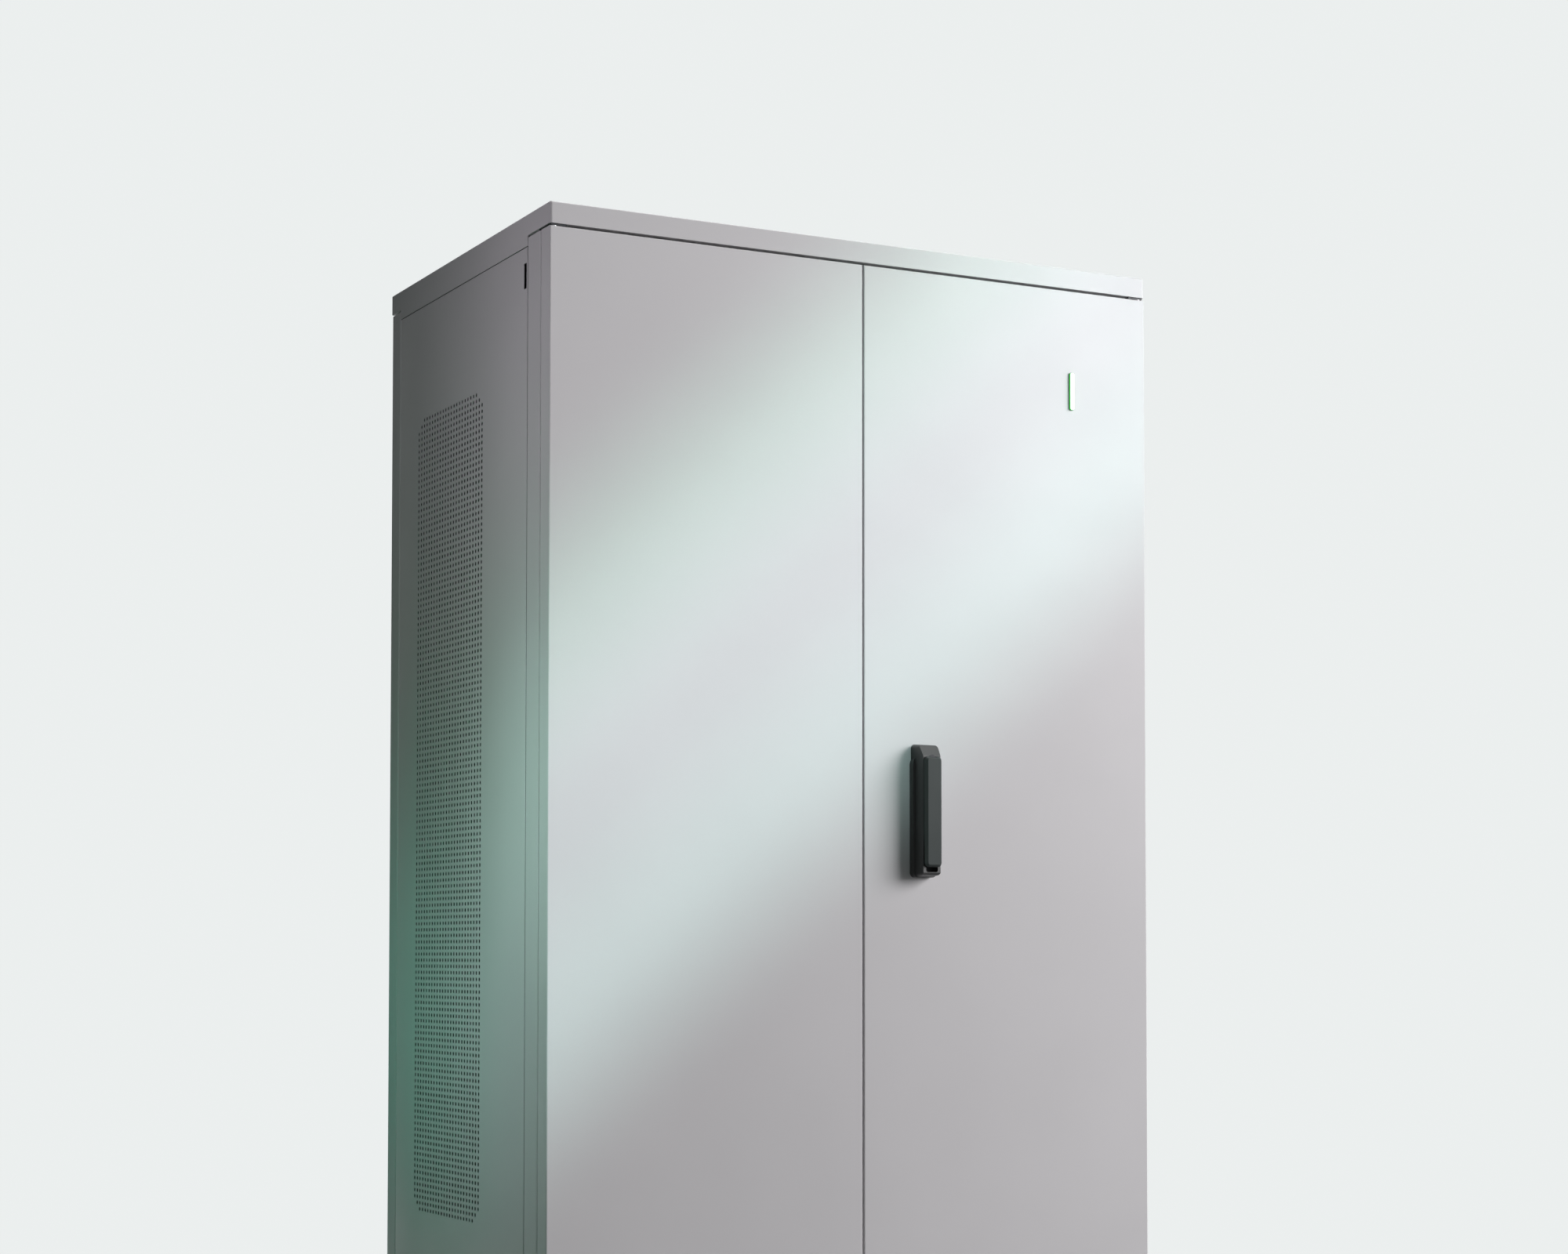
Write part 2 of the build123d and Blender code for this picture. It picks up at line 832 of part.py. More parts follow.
def door_gasket():
    """A rubber ring on the door's lip, facing the frame."""
    low = door_gap / 2 + gasket_inset
    high = right - gasket_inset
    ring = block(low, high, door_back, door_back + gasket_thickness,
                 door_bottom + gasket_inset, door_top - gasket_inset)
    return ring - block(low + gasket_width, high - gasket_width, door_back - overrun, frame_front,
                        door_bottom + gasket_inset + gasket_width, door_top - gasket_inset - gasket_width)


def door_bushes():
    """Bearing blocks in the door's corners for the hinge pins."""
    half = hinge_offset - sheet
    bushes = []
    for z_low, z_high in ((door_bottom + sheet, door_bottom + sheet + bush_length),
                          (door_top - sheet - bush_length, door_top - sheet)):
        bush = block(hinge_x - half, hinge_x + half, hinge_y - half, hinge_y + half, z_low, z_high)
        bushes.append(bush - post_along_z(hinge_x, hinge_y, hinge_pin_radius + running_clearance,
                                          z_low - overrun, z_high + overrun))
    return bushes


def hinge_brackets():
    """Plates in the gaps above and below the doors, which hold the hinge pins."""
    x_high = right - hinge_plate_inset
    x_low = x_high - hinge_plate_width
    y_low = front + hinge_plate_inset
    y_high = frame_front + ring_inset - 2 * bracket_gap
    top = block(x_low, x_high, y_low, y_high, roof_bottom - hinge_plate, roof_bottom)
    top += block(x_low, x_high, frame_front, y_high, post_top, roof_bottom)
    bottom = block(x_low, x_high, y_low, frame_front - bracket_gap, base_height, base_height + hinge_plate)
    return both_sides(top) + both_sides(bottom)


def hinge_pins():
    """Pins with a collar that carries the door."""
    pins = []
    plate_top = base_height + hinge_plate
    plate_low = roof_bottom - hinge_plate
    low_pin = post_along_z(hinge_x, hinge_y, hinge_pin_radius, plate_top, plate_top + hinge_pin_length)
    low_pin += post_along_z(hinge_x, hinge_y, hinge_collar_radius, plate_top,
                            door_bottom - hinge_collar_gap)
    high_pin = post_along_z(hinge_x, hinge_y, hinge_pin_radius, plate_low - hinge_pin_length, plate_low)
    high_pin += post_along_z(hinge_x, hinge_y, hinge_collar_radius, door_top + hinge_collar_gap, plate_low)
    for pin in (low_pin, high_pin):
        pins.extend(both_sides(pin))
    return pins


# Slide bolts of the left door

def bolt_guides():
    """Two guide blocks for each slide bolt."""
    blocks = []
    for z_edge, way in ((door_top, -1), (door_bottom, 1)):
        near = z_edge + way * (sheet + bolt_guide_setback)
        far = z_edge + way * (bolt_length - bolt_guide_setback)
        for start, end in ((near, near + way * bolt_guide_length), (far - way * bolt_guide_length, far)):
            z_low, z_high = sorted((start, end))
            guide = block(-bolt_offset - bolt_guide_size / 2, -bolt_offset + bolt_guide_size / 2,
                          skin_back, bolt_y + bolt_guide_back, z_low, z_high)
            blocks.append(guide - post_along_z(-bolt_offset, bolt_y, bolt_radius + running_clearance,
                                               z_low - overrun, z_high + overrun))
    return blocks


def slide_bolt(z_edge, way):
    """A round bolt, stored drawn in, with a finger knob between its guides."""
    z_low, z_high = sorted((z_edge + way * sheet / 2, z_edge + way * bolt_length))
    knob_z = z_edge + way * (bolt_length + sheet) / 2
    bolt = post_along_z(-bolt_offset, bolt_y, bolt_radius, z_low, z_high)
    return bolt + shaft_along_y(-bolt_offset, knob_z, bolt_knob_radius, bolt_y, bolt_y + bolt_knob_length)


# Handle and rod lock of the right door

def rounded_outline(z_low, z_high, outline_width, low_radius, high_radius, y):
    """An upright outline on the handle's middle line, with its own corner radii below and above."""
    outline = Rectangle(outline_width, z_high - z_low)
    corners = outline.vertices().group_by(Axis.Y)
    outline = fillet(corners[0], low_radius)
    outline = fillet(outline.vertices().group_by(Axis.Y)[-1], high_radius)
    return facing_front(handle_offset, y, (z_low + z_high) / 2) * outline


def handle_base():
    """A thick flange, a body with tapered sides and a sloped head, and a recess for the fingers."""
    top = handle_bottom + handle_height
    flange = extrude(
        rounded_outline(handle_bottom, top - handle_flange_drop, handle_flange_width,
                        handle_flange_low_radius, handle_flange_top_radius, front),
        amount=handle_flange_height,
    )
    body = extrude(
        rounded_outline(handle_bottom, top, handle_body_width, handle_body_radius,
                        handle_body_radius, front),
        amount=handle_base_height, taper=handle_body_taper,
    )
    side = make_face(Polyline(
        (front, handle_bottom),
        (base_face + handle_chin, handle_bottom),
        (base_face, handle_bottom + handle_chin),
        (base_face, top - handle_slope_length),
        (base_face + handle_slope_rise, top),
        (front, top),
        close=True,
    ))
    body &= extrude(facing_right(handle_offset - handle_body_width) * side,
                    amount=2 * handle_body_width, dir=(1, 0, 0))
    base = flange + body
    recess_low = handle_bottom + recess_margin
    recess = block(handle_offset - recess_width / 2, handle_offset + recess_width / 2,
                   base_face - overrun, base_face + recess_depth, recess_low, recess_low + recess_height)
    recess = fillet(recess.edges().filter_by(Axis.Y), recess_radius)
    base -= recess
    return base - shaft_along_y(handle_offset, spindle_z, spindle_radius + running_clearance,
                                base_face - overrun, front + overrun)


def handle_lever():
    """A flat grip with chamfered sides, a half-round head about its pin and a tip raised for the fingers."""
    tip_back = lever_back - lever_tip_lift
    bend_z = lever_bottom + lever_bend_rise
    nose = lever_half / 2
    side = make_face([
        Line((lever_back, spindle_z), (lever_back, bend_z)),
        Line((lever_back, bend_z), (tip_back, lever_bottom)),
        Line((tip_back, lever_bottom), (lever_front + nose, lever_bottom)),
        Line((lever_front + nose, lever_bottom), (lever_front, lever_bottom + nose)),
        Line((lever_front, lever_bottom + nose), (lever_front, spindle_z)),
        CenterArc((pin_y, spindle_z), lever_half, 0, 180),
    ])
    profile = extrude(facing_right(handle_offset - lever_width) * side,
                      amount=2 * lever_width, dir=(1, 0, 0))
    shoulder_y = lever_front + lever_chamfer_depth
    outline = rounded_outline(lever_bottom, lever_top, lever_width, lever_corner_radius,
                              lever_corner_radius, lever_back)
    grip = extrude(outline, amount=lever_back - shoulder_y)
    shoulder = rounded_outline(lever_bottom, lever_top, lever_width, lever_corner_radius,
                               lever_corner_radius, shoulder_y)
    crown = rounded_outline(lever_bottom + lever_chamfer_width, lever_top - lever_chamfer_width,
                            lever_width - 2 * lever_chamfer_width,
                            lever_corner_radius - lever_chamfer_width,
                            lever_corner_radius - lever_chamfer_width, lever_front)
    grip += loft([shoulder, crown])
    grip &= profile
    slot_half = tongue_thickness / 2 + tongue_clearance
    grip -= block(handle_offset - slot_half, handle_offset + slot_half,
                  lever_front + tongue_wall, lever_back + overrun,
                  spindle_z - lever_slot_reach, lever_top + overrun)
    return grip - lever_pin()


def lever_pin():
    half = lever_width / 2 - lever_chamfer_width
    return shaft_along_x(pin_y, spindle_z, lever_pin_radius, handle_offset - half, handle_offset + half)


def handle_spindle():
    """The shaft through the door, with a tongue on its outer end that carries the lever."""
    shaft = shaft_along_y(handle_offset, spindle_z, spindle_radius, base_face, gear_back + gearbox_wall)
    tongue_half = lever_half - tongue_wall - tongue_clearance
    tongue = block(handle_offset - tongue_thickness / 2, handle_offset + tongue_thickness / 2,
                   pin_y, base_face + tongue_wall, spindle_z - tongue_half, spindle_z + tongue_half)
    tongue += shaft_along_x(pin_y, spindle_z, tongue_half,
                            handle_offset - tongue_thickness / 2, handle_offset + tongue_thickness / 2)
    bore = shaft_along_x(pin_y, spindle_z, lever_pin_radius + running_clearance,
                         handle_offset - tongue_thickness, handle_offset + tongue_thickness)
    return shaft + tongue - bore


def involute(angle):
    return math.tan(angle) - angle


def gear_outline():
    """Points round a spur gear whose flanks are involutes of the base circle."""
    pressure = math.radians(pressure_angle)
    base_radius = pinion_radius * math.cos(pressure)
    tip_radius = pinion_radius + gear_module
    root_radius = pinion_radius - root_depth
    half_tooth = (math.pi * gear_module / 2 - backlash) / (2 * pinion_radius)
    flank = []
    for step in range(flank_steps + 1):
        radius = base_radius + (tip_radius - base_radius) * step / flank_steps
        turn = half_tooth + involute(pressure) - involute(math.acos(base_radius / radius))
        flank.append((radius, turn))
    flank.insert(0, (root_radius, flank[0][1]))
    points = []
    for tooth in range(gear_teeth):
        centre = 2 * math.pi * tooth / gear_teeth
        for radius, turn in flank:
            points.append((radius * math.cos(centre - turn), radius * math.sin(centre - turn)))
        for radius, turn in reversed(flank):
            points.append((radius * math.cos(centre + turn), radius * math.sin(centre + turn)))
    return points


def lock_pinion():
    outline = make_face(Polyline(*gear_outline(), close=True))
    gear = extrude(facing_front(handle_offset, gear_back, spindle_z) * outline,
                   amount=gear_width, dir=(0, -1, 0))
    return gear - shaft_along_y(handle_offset, spindle_z, spindle_radius,
                                gear_front - overrun, gear_back + overrun)


def rack_outline(reach):
    """Points round a flat rod beside the pinion: a toothed head, and a plain shank that runs down."""
    pitch = math.pi * gear_module
    slope = math.tan(math.radians(pressure_angle))
    half_tooth = pitch / 4 - backlash / 2
    tip = pinion_radius - rack_addendum
    points = [(rod_far, rod_tail), (rod_near, rod_tail)]
    for tooth in range(rack_teeth):
        middle = (rack_first_tooth - tooth) * pitch
        half_root = half_tooth + root_depth * slope
        half_tip = half_tooth - rack_addendum * slope
        points.append((rod_near, middle + half_root))
        points.append((tip, middle + half_tip))
        points.append((tip, middle - half_tip))
        points.append((rod_near, middle - half_root))
    points += [(rod_near, -reach), (rod_far, -reach)]
    return points


def lock_rod(reach, turn):
    """One rod, in mesh with the pinion: as drawn for the lower one, turned over for the upper one."""
    outline = make_face(Polyline(*rack_outline(reach), close=True))
    rod = extrude(facing_front(0, gear_back, 0) * outline, amount=gear_width, dir=(0, -1, 0))
    return Pos(handle_offset, 0, spindle_z) * Rot(0, turn, 0) * rod


def lower_lock_rod():
    return lock_rod(spindle_z - door_bottom + rod_reach, 0)


def upper_lock_rod():
    return lock_rod(door_top + rod_reach - spindle_z, 180)


def lock_gearbox():
    """A housing open above and below, where the rods pass the pinion."""
    half = rod_far + gearbox_clearance
    z_low = spindle_z - gearbox_height / 2
    z_high = spindle_z + gearbox_height / 2
    box = block(handle_offset - half - gearbox_wall, handle_offset + half + gearbox_wall,
                skin_back, gear_back + gearbox_clearance + gearbox_wall, z_low, z_high)
    box -= block(handle_offset - half, handle_offset + half,
                 gear_front - gearbox_clearance, gear_back + gearbox_clearance,
                 z_low - overrun, z_high + overrun)
    return box - shaft_along_y(handle_offset, spindle_z, spindle_radius + running_clearance,
                               front, door_back)


def rod_guides():
    """Blocks that hold each rod to the door near its end and halfway."""
    guides = []
    for side, z_end in ((-1, door_top), (1, door_bottom)):
        low, high = sorted((handle_offset + side * rod_near, handle_offset + side * rod_far))
        halfway = (z_end + spindle_z) / 2
        near = z_end + (-rod_guide_setback if z_end > spindle_z else rod_guide_setback)
        for z in (halfway, near):
            z_low = z - rod_guide_length / 2
            z_high = z + rod_guide_length / 2
            guide = block(low - rod_guide_wall, high + rod_guide_wall, skin_back,
                          gear_back + rod_guide_clearance + rod_guide_wall, z_low, z_high)
            guides.append(guide - block(low - rod_guide_clearance, high + rod_guide_clearance,
                                        gear_front - rod_guide_clearance, gear_back + rod_guide_clearance,
                                        z_low - overrun, z_high + overrun))
    return guides


# Status light

def light_outline(margin, y):
    middle = light_bottom + light_height / 2
    outline = RectangleRounded(light_width - 2 * margin, light_height - 2 * margin,
                               light_corner_radius - margin)
    return facing_front(light_offset, y, middle) * outline


def status_light_rim():
    rim = extrude(light_outline(0, front), amount=light_rim)
    return rim - extrude(light_outline(light_rim, front + overrun), amount=light_rim + 2 * overrun)


def status_light_lens():
    """A lit bar that stands proud of its rim."""
    lens = extrude(light_outline(light_rim, skin_back), amount=sheet + light_proud)
    return fillet(lens.faces().sort_by(Axis.Y)[0].edges(), light_rim)


def status_light_body():
    return block(light_offset - light_width, light_offset + light_width,
                 skin_back, skin_back + light_body_depth,
                 light_bottom - light_width, light_bottom + light_height + light_width)


os.makedirs("parts", exist_ok=True)

front_left_post = corner_post(frame_front, front_post_back)
rear_left_post = corner_post(rear_post_front, frame_back)
left_panel = side_panel()
left_back = rear_panel()
stiffener = door_stiffener()
gasket = door_gasket()
bushes = door_bushes()

save("base_frame", base_frame())
save("front_left_post", front_left_post)
save("front_right_post", flipped(front_left_post))
save("rear_left_post", rear_left_post)
save("rear_right_post", flipped(rear_left_post))
save("centre_posts", centre_post(frame_front, front_post_back), centre_post(rear_post_front, frame_back))
save("top_rails", top_rail(frame_front, front_post_back), top_rail(rear_post_front, frame_back))
save("top_ring", top_ring())
save("side_rails", *side_rails())
save("roof_cap", roof_cap())
save("lifting_nuts", *lifting_nuts())
save("left_side_panel", left_panel)
save("right_side_panel", flipped(left_panel))
save("left_rear_panel", left_back)
save("right_rear_panel", flipped(left_back))
save("rear_panel_screws", *rear_panel_screws())
save("floor_plate", floor_plate())
save("cable_edge_trims", *cable_edge_trims())
save("rack_rails", *rack_rails())
save("module_runners", *module_runners())
save("left_battery_modules", *battery_modules(-1))
save("right_battery_modules", *battery_modules(1))
save("module_fronts", *module_fronts())
save("module_grips", *module_grips())
save("module_terminals", *module_terminals())
save("module_link_bars", *module_link_bars())
save("busbars", *busbars())
save("busbar_supports", *busbar_supports())
save("control_unit", control_unit())
save("power_button", power_button())
save("switchgear_box", switchgear_box())
save("main_breaker", main_breaker())
save("breaker_toggle", breaker_toggle())
save("earth_bar", earth_bar())
save("earth_bolts", *earth_bolts())
save("hinge_brackets", *hinge_brackets())
save("hinge_pins", *hinge_pins())
save("left_door", left_door())
save("left_door_stiffener", flipped(stiffener))
save("left_door_gasket", flipped(gasket))
save("left_door_bushes", *[flipped(bush) for bush in bushes])
save("bolt_guides", *bolt_guides())
save("upper_slide_bolt", slide_bolt(door_top, -1))
save("lower_slide_bolt", slide_bolt(door_bottom, 1))
save("right_door", right_door())
save("right_door_stiffener", stiffener)
save("right_door_gasket", gasket)
save("right_door_bushes", *bushes)
save("handle_base", handle_base())
save("handle_lever", handle_lever())
save("lever_pin", lever_pin())
save("handle_spindle", handle_spindle())
save("lock_pinion", lock_pinion())
save("lock_gearbox", lock_gearbox())
save("upper_lock_rod", upper_lock_rod())
save("lower_lock_rod", lower_lock_rod())
save("rod_guides", *rod_guides())
save("status_light_rim", status_light_rim())
save("status_light_lens", status_light_lens())
save("status_light_body", status_light_body())
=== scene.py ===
import json
import math

import bpy
import numpy as np
from mathutils import Euler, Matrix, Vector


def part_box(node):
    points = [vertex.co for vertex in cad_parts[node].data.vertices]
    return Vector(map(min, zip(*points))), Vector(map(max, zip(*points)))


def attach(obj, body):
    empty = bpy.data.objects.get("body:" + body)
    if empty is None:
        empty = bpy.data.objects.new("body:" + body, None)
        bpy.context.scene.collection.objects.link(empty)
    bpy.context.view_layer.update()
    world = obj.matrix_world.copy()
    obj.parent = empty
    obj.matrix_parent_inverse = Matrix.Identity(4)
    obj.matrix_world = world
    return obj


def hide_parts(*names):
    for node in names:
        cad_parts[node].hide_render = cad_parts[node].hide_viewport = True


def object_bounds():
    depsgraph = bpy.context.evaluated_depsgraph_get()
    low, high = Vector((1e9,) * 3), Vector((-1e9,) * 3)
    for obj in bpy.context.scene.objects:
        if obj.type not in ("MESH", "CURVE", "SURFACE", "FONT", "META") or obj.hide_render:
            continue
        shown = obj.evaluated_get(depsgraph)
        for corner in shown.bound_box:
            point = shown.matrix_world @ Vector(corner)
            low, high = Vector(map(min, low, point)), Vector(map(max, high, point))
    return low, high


# Battery cabinet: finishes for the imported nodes, perforated side panels, small hardware, light and
# camera. Metres, in the part's own frame: origin on the floor, X right, doors towards -Y, Z up.

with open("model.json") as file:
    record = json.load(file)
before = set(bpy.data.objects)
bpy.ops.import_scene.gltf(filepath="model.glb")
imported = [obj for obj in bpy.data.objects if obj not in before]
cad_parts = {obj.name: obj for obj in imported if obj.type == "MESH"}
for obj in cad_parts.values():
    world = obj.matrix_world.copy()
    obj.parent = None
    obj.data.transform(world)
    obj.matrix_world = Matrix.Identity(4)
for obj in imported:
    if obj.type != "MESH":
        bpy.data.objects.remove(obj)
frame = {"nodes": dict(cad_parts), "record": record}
nodes = frame["nodes"]
cad_low, cad_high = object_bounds()
mm = 0.001


# Finishes

# A colour Mix node's sockets, by index, because number and vector sockets share their names
mix_factor, mix_first, mix_second, mix_result = 0, 6, 7, 2


class Finish:
    """One material: a Principled shader, and the nodes that feed its colour, roughness and bump."""

    def __init__(self, name, roughness=0.5, metallic=0.0, specular=0.5):
        self.material = bpy.data.materials.new(name)
        self.material.use_nodes = True
        self.tree = self.material.node_tree
        self.shader = self.tree.nodes["Principled BSDF"]
        self.place = self.node("ShaderNodeTexCoord").outputs["Object"]
        self.set("Roughness", roughness)
        self.set("Metallic", metallic)
        self.set("Specular IOR Level", specular)

    def node(self, kind):
        return self.tree.nodes.new(kind)

    def set(self, socket, value):
        self.shader.inputs[socket].default_value = value

    def join(self, output, socket):
        self.tree.links.new(output, socket)

    def feed(self, socket, output):
        self.join(output, self.shader.inputs[socket])

    def noise(self, scale, detail, place=None):
        noise = self.node("ShaderNodeTexNoise")
        noise.inputs["Scale"].default_value = scale
        noise.inputs["Detail"].default_value = detail
        self.join(place or self.place, noise.inputs["Vector"])
        return noise.outputs["Fac"]

    def streaks(self, scales, detail):
        """Noise on the object's own coordinates, each axis scaled by its own amount."""
        mapping = self.node("ShaderNodeMapping")
        mapping.inputs["Scale"].default_value = scales
        self.join(self.place, mapping.inputs["Vector"])
        return self.noise(1.0, detail, mapping.outputs["Vector"])

    def cells(self, scale):
        cells = self.node("ShaderNodeTexVoronoi")
        cells.inputs["Scale"].default_value = scale
        self.join(self.place, cells.inputs["Vector"])
        return cells.outputs["Color"]

    def levels(self, factor, low, high, out_low, out_high):
        """The factor's range from low to high, stretched to run from out_low to out_high."""
        levels = self.node("ShaderNodeMapRange")
        sockets = ("From Min", "From Max", "To Min", "To Max")
        for socket, value in zip(sockets, (low, high, out_low, out_high)):
            levels.inputs[socket].default_value = value
        self.join(factor, levels.inputs["Value"])
        return levels.outputs["Result"]

    def varied(self, noise, out_low, out_high):
        """The middle of a noise's range, stretched to run from out_low to out_high."""
        return self.levels(noise, 0.3, 0.7, out_low, out_high)

    def along(self, axis):
        """The object's own coordinate along one axis, in metres."""
        split = self.node("ShaderNodeSeparateXYZ")
        self.join(self.place, split.inputs["Vector"])
        return split.outputs[axis]

    def blend(self, factor, first, second):
        """Mixes two colours, given as tuples or as outputs."""
        mix = self.node("ShaderNodeMix")
        mix.data_type = "RGBA"
        self.join(factor, mix.inputs[mix_factor])
        for socket, colour in ((mix_first, first), (mix_second, second)):
            if isinstance(colour, tuple):
                mix.inputs[socket].default_value = (*colour, 1)
            else:
                self.join(colour, mix.inputs[socket])
        return mix.outputs[mix_result]

    def bump(self, height, distance, strength, below=None):
        bump = self.node("ShaderNodeBump")
        bump.inputs["Strength"].default_value = strength
        bump.inputs["Distance"].default_value = distance
        self.join(height, bump.inputs["Height"])
        if below is not None:
            self.join(below, bump.inputs["Normal"])
        return bump.outputs["Normal"]


def shade(colour, factor):
    return tuple(channel * factor for channel in colour)


def powder_coat(name, colour, dusty=False):
    """Powder coat: an orange peel of two sizes, fine speckle and slow changes of tone."""
    paint = Finish(name, specular=0.30)
    slow = paint.levels(paint.noise(scale=1.7, detail=3.0), 0.35, 0.65, 0.0, 1.0)
    tone = paint.blend(slow, shade(colour, 0.975), shade(colour, 1.02))
    speckle = paint.varied(paint.noise(scale=1400.0, detail=1.0), 0.0, 0.10)
    body = paint.blend(speckle, tone, shade(colour, 0.82))
    if dusty:
        dust_top, dust_share, dust = 0.22, 0.35, (0.42, 0.40, 0.37)
        low_dust = paint.levels(paint.along("Z"), 0.0, dust_top, dust_share, 0.0)
        body = paint.blend(low_dust, body, dust)
    paint.feed("Base Color", body)
    paint.feed("Roughness", paint.varied(paint.noise(scale=7.0, detail=4.0), 0.40, 0.50))
    wide = paint.bump(paint.noise(scale=260.0, detail=1.0), distance=0.00012, strength=0.35)
    fine = paint.noise(scale=900.0, detail=2.0)
    paint.feed("Normal", paint.bump(fine, distance=0.00004, strength=0.4, below=wide))
    return paint.material


def zinc_sheet(name, dull=(0.47, 0.48, 0.50), bright=(0.62, 0.63, 0.64)):
    """Zinc plate: cells of slightly different brightness under a fine rolled grain."""
    zinc = Finish(name, metallic=1.0)
    spangle = zinc.levels(zinc.cells(scale=85.0), 0.0, 1.0, 0.0, 1.0)
    zinc.feed("Base Color", zinc.blend(spangle, dull, bright))
    grain = zinc.streaks(scales=(900.0, 900.0, 25.0), detail=2.0)
    zinc.feed("Roughness", zinc.varied(grain, 0.34, 0.50))
    zinc.feed("Normal", zinc.bump(grain, distance=0.00002, strength=0.3))
    return zinc.material


def turned_steel(name):
    """Machined steel: close tool lines and a few duller patches."""
    steel = Finish(name, metallic=1.0)
    patches = steel.levels(steel.noise(scale=60.0, detail=3.0), 0.4, 0.7, 0.0, 1.0)
    steel.feed("Base Color", steel.blend(patches, (0.58, 0.58, 0.59), (0.43, 0.42, 0.42)))
    lines = steel.streaks(scales=(60.0, 60.0, 3500.0), detail=1.0)
    steel.feed("Roughness", steel.varied(lines, 0.20, 0.36))
    steel.feed("Normal", steel.bump(lines, distance=0.00002, strength=0.5))
    return steel.material


def bare_metal(name, clean, stained):
    """Copper or brass bar: brushed lines, and a brown stain that gathers in patches."""
    bar = Finish(name, metallic=1.0)
    stain = bar.levels(bar.noise(scale=35.0, detail=5.0), 0.45, 0.75, 0.0, 0.8)
    bar.feed("Base Color", bar.blend(stain, clean, stained))
    brushed = bar.streaks(scales=(1800.0, 1800.0, 40.0), detail=2.0)
    bar.feed("Roughness", bar.varied(brushed, 0.24, 0.40))
    bar.feed("Normal", bar.bump(brushed, distance=0.00002, strength=0.4))
    return bar.material


def moulded(name, colour, roughness, grain=1500.0, depth=0.00003, specular=0.5):
    """Moulded plastic: a spark-eroded grain, slight flow marks, and gloss that changes a little."""
    plastic = Finish(name, specular=specular)
    streaks = plastic.streaks(scales=(14.0, 14.0, 4.0), detail=2.0)
    flow = plastic.levels(streaks, 0.35, 0.65, 0.0, 1.0)
    plastic.feed("Base Color", plastic.blend(flow, shade(colour, 0.9), shade(colour, 1.1)))
    gloss = plastic.noise(scale=30.0, detail=3.0)
    plastic.feed("Roughness", plastic.varied(gloss, roughness - 0.04, roughness + 0.05))
    eroded = plastic.noise(scale=grain, detail=2.0)
    plastic.feed("Normal", plastic.bump(eroded, distance=depth, strength=0.5))
    return plastic.material


def seal(name):
    """Foam rubber: matt, with open pores."""
    rubber = Finish(name, specular=0.25)
    pores = rubber.noise(scale=1100.0, detail=3.0)
    raised = rubber.levels(pores, 0.35, 0.6, 0.0, 1.0)
    rubber.feed("Base Color", rubber.blend(raised, (0.010, 0.010, 0.010), (0.028, 0.028, 0.029)))
    rubber.feed("Roughness", rubber.varied(pores, 0.70, 0.85))
    rubber.feed("Normal", rubber.bump(pores, distance=0.0002, strength=0.5))
    return rubber.material


def lit_lens(name, face_y, wall_y):
    """A lit bar: green in its walls, nearly white on its face."""
    lens = Finish(name, roughness=0.22)
    cloud = lens.varied(lens.noise(scale=45.0, detail=2.0), 0.0, 0.12)
    green = lens.blend(cloud, (0.012, 0.56, 0.016), (0.025, 0.62, 0.03))
    face = lens.levels(lens.along("Y"), face_y, wall_y, 1.0, 0.0)
    glow = lens.blend(face, green, (0.86, 1.0, 0.88))
    lens.feed("Base Color", lens.blend(face, (0.01, 0.22, 0.012), (0.70, 0.90, 0.72)))
    lens.feed("Emission Color", glow)
    lens.set("Emission Strength", 0.85)
    ripple = lens.noise(scale=600.0, detail=1.0)
    lens.feed("Normal", lens.bump(ripple, distance=0.00002, strength=0.3))
    return lens.material


# The lens changes from its face's colour to its walls' between these distances behind its front
lens_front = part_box("status_light_lens")[0].y
lens_face_end = lens_front + 0.3 * mm
lens_wall_start = lens_front + 1.3 * mm

finishes = {
    "cabinet_paint": powder_coat("cabinet powder coat", (0.600, 0.590, 0.600)),
    "door_paint": powder_coat("door powder coat", (0.620, 0.610, 0.620)),
    "base_paint": powder_coat("base powder coat", (0.085, 0.088, 0.092), dusty=True),
    "zinc_steel": zinc_sheet("zinc plated sheet"),
    "bright_steel": turned_steel("machined steel"),
    "handle_black": moulded("handle base coat", (0.008, 0.009, 0.009), 0.33, 1900.0,
                            specular=0.62),
    "lever_black": moulded("lever coat", (0.014, 0.021, 0.020), 0.42, 2400.0, 0.00002,
                           specular=0.26),
    "seal_rubber": seal("seal rubber"),
    "module_case": moulded("module case", (0.050, 0.055, 0.060), 0.50),
    "module_front": powder_coat("module front coat", (0.060, 0.066, 0.072)),
    "grip_black": moulded("grip plastic", (0.018, 0.018, 0.019), 0.42),
    "copper": bare_metal("copper bar", (0.75, 0.40, 0.24), (0.36, 0.17, 0.10)),
    "terminal_brass": bare_metal("brass terminal", (0.78, 0.62, 0.31), (0.45, 0.32, 0.14)),
    "insulator_red": moulded("cast resin", (0.45, 0.045, 0.030), 0.25, 500.0),
    "unit_paint": powder_coat("unit coat", (0.100, 0.106, 0.112)),
    "breaker_case": moulded("breaker case", (0.20, 0.21, 0.215), 0.45),
    "toggle_black": moulded("toggle plastic", (0.015, 0.015, 0.016), 0.28),
    "button_green": moulded("button plastic", (0.035, 0.30, 0.07), 0.26, 700.0),
    "light_lens": lit_lens("lit lens", lens_face_end, lens_wall_start),
    "light_rim": moulded("light rim plastic", (0.16, 0.17, 0.17), 0.45),
}

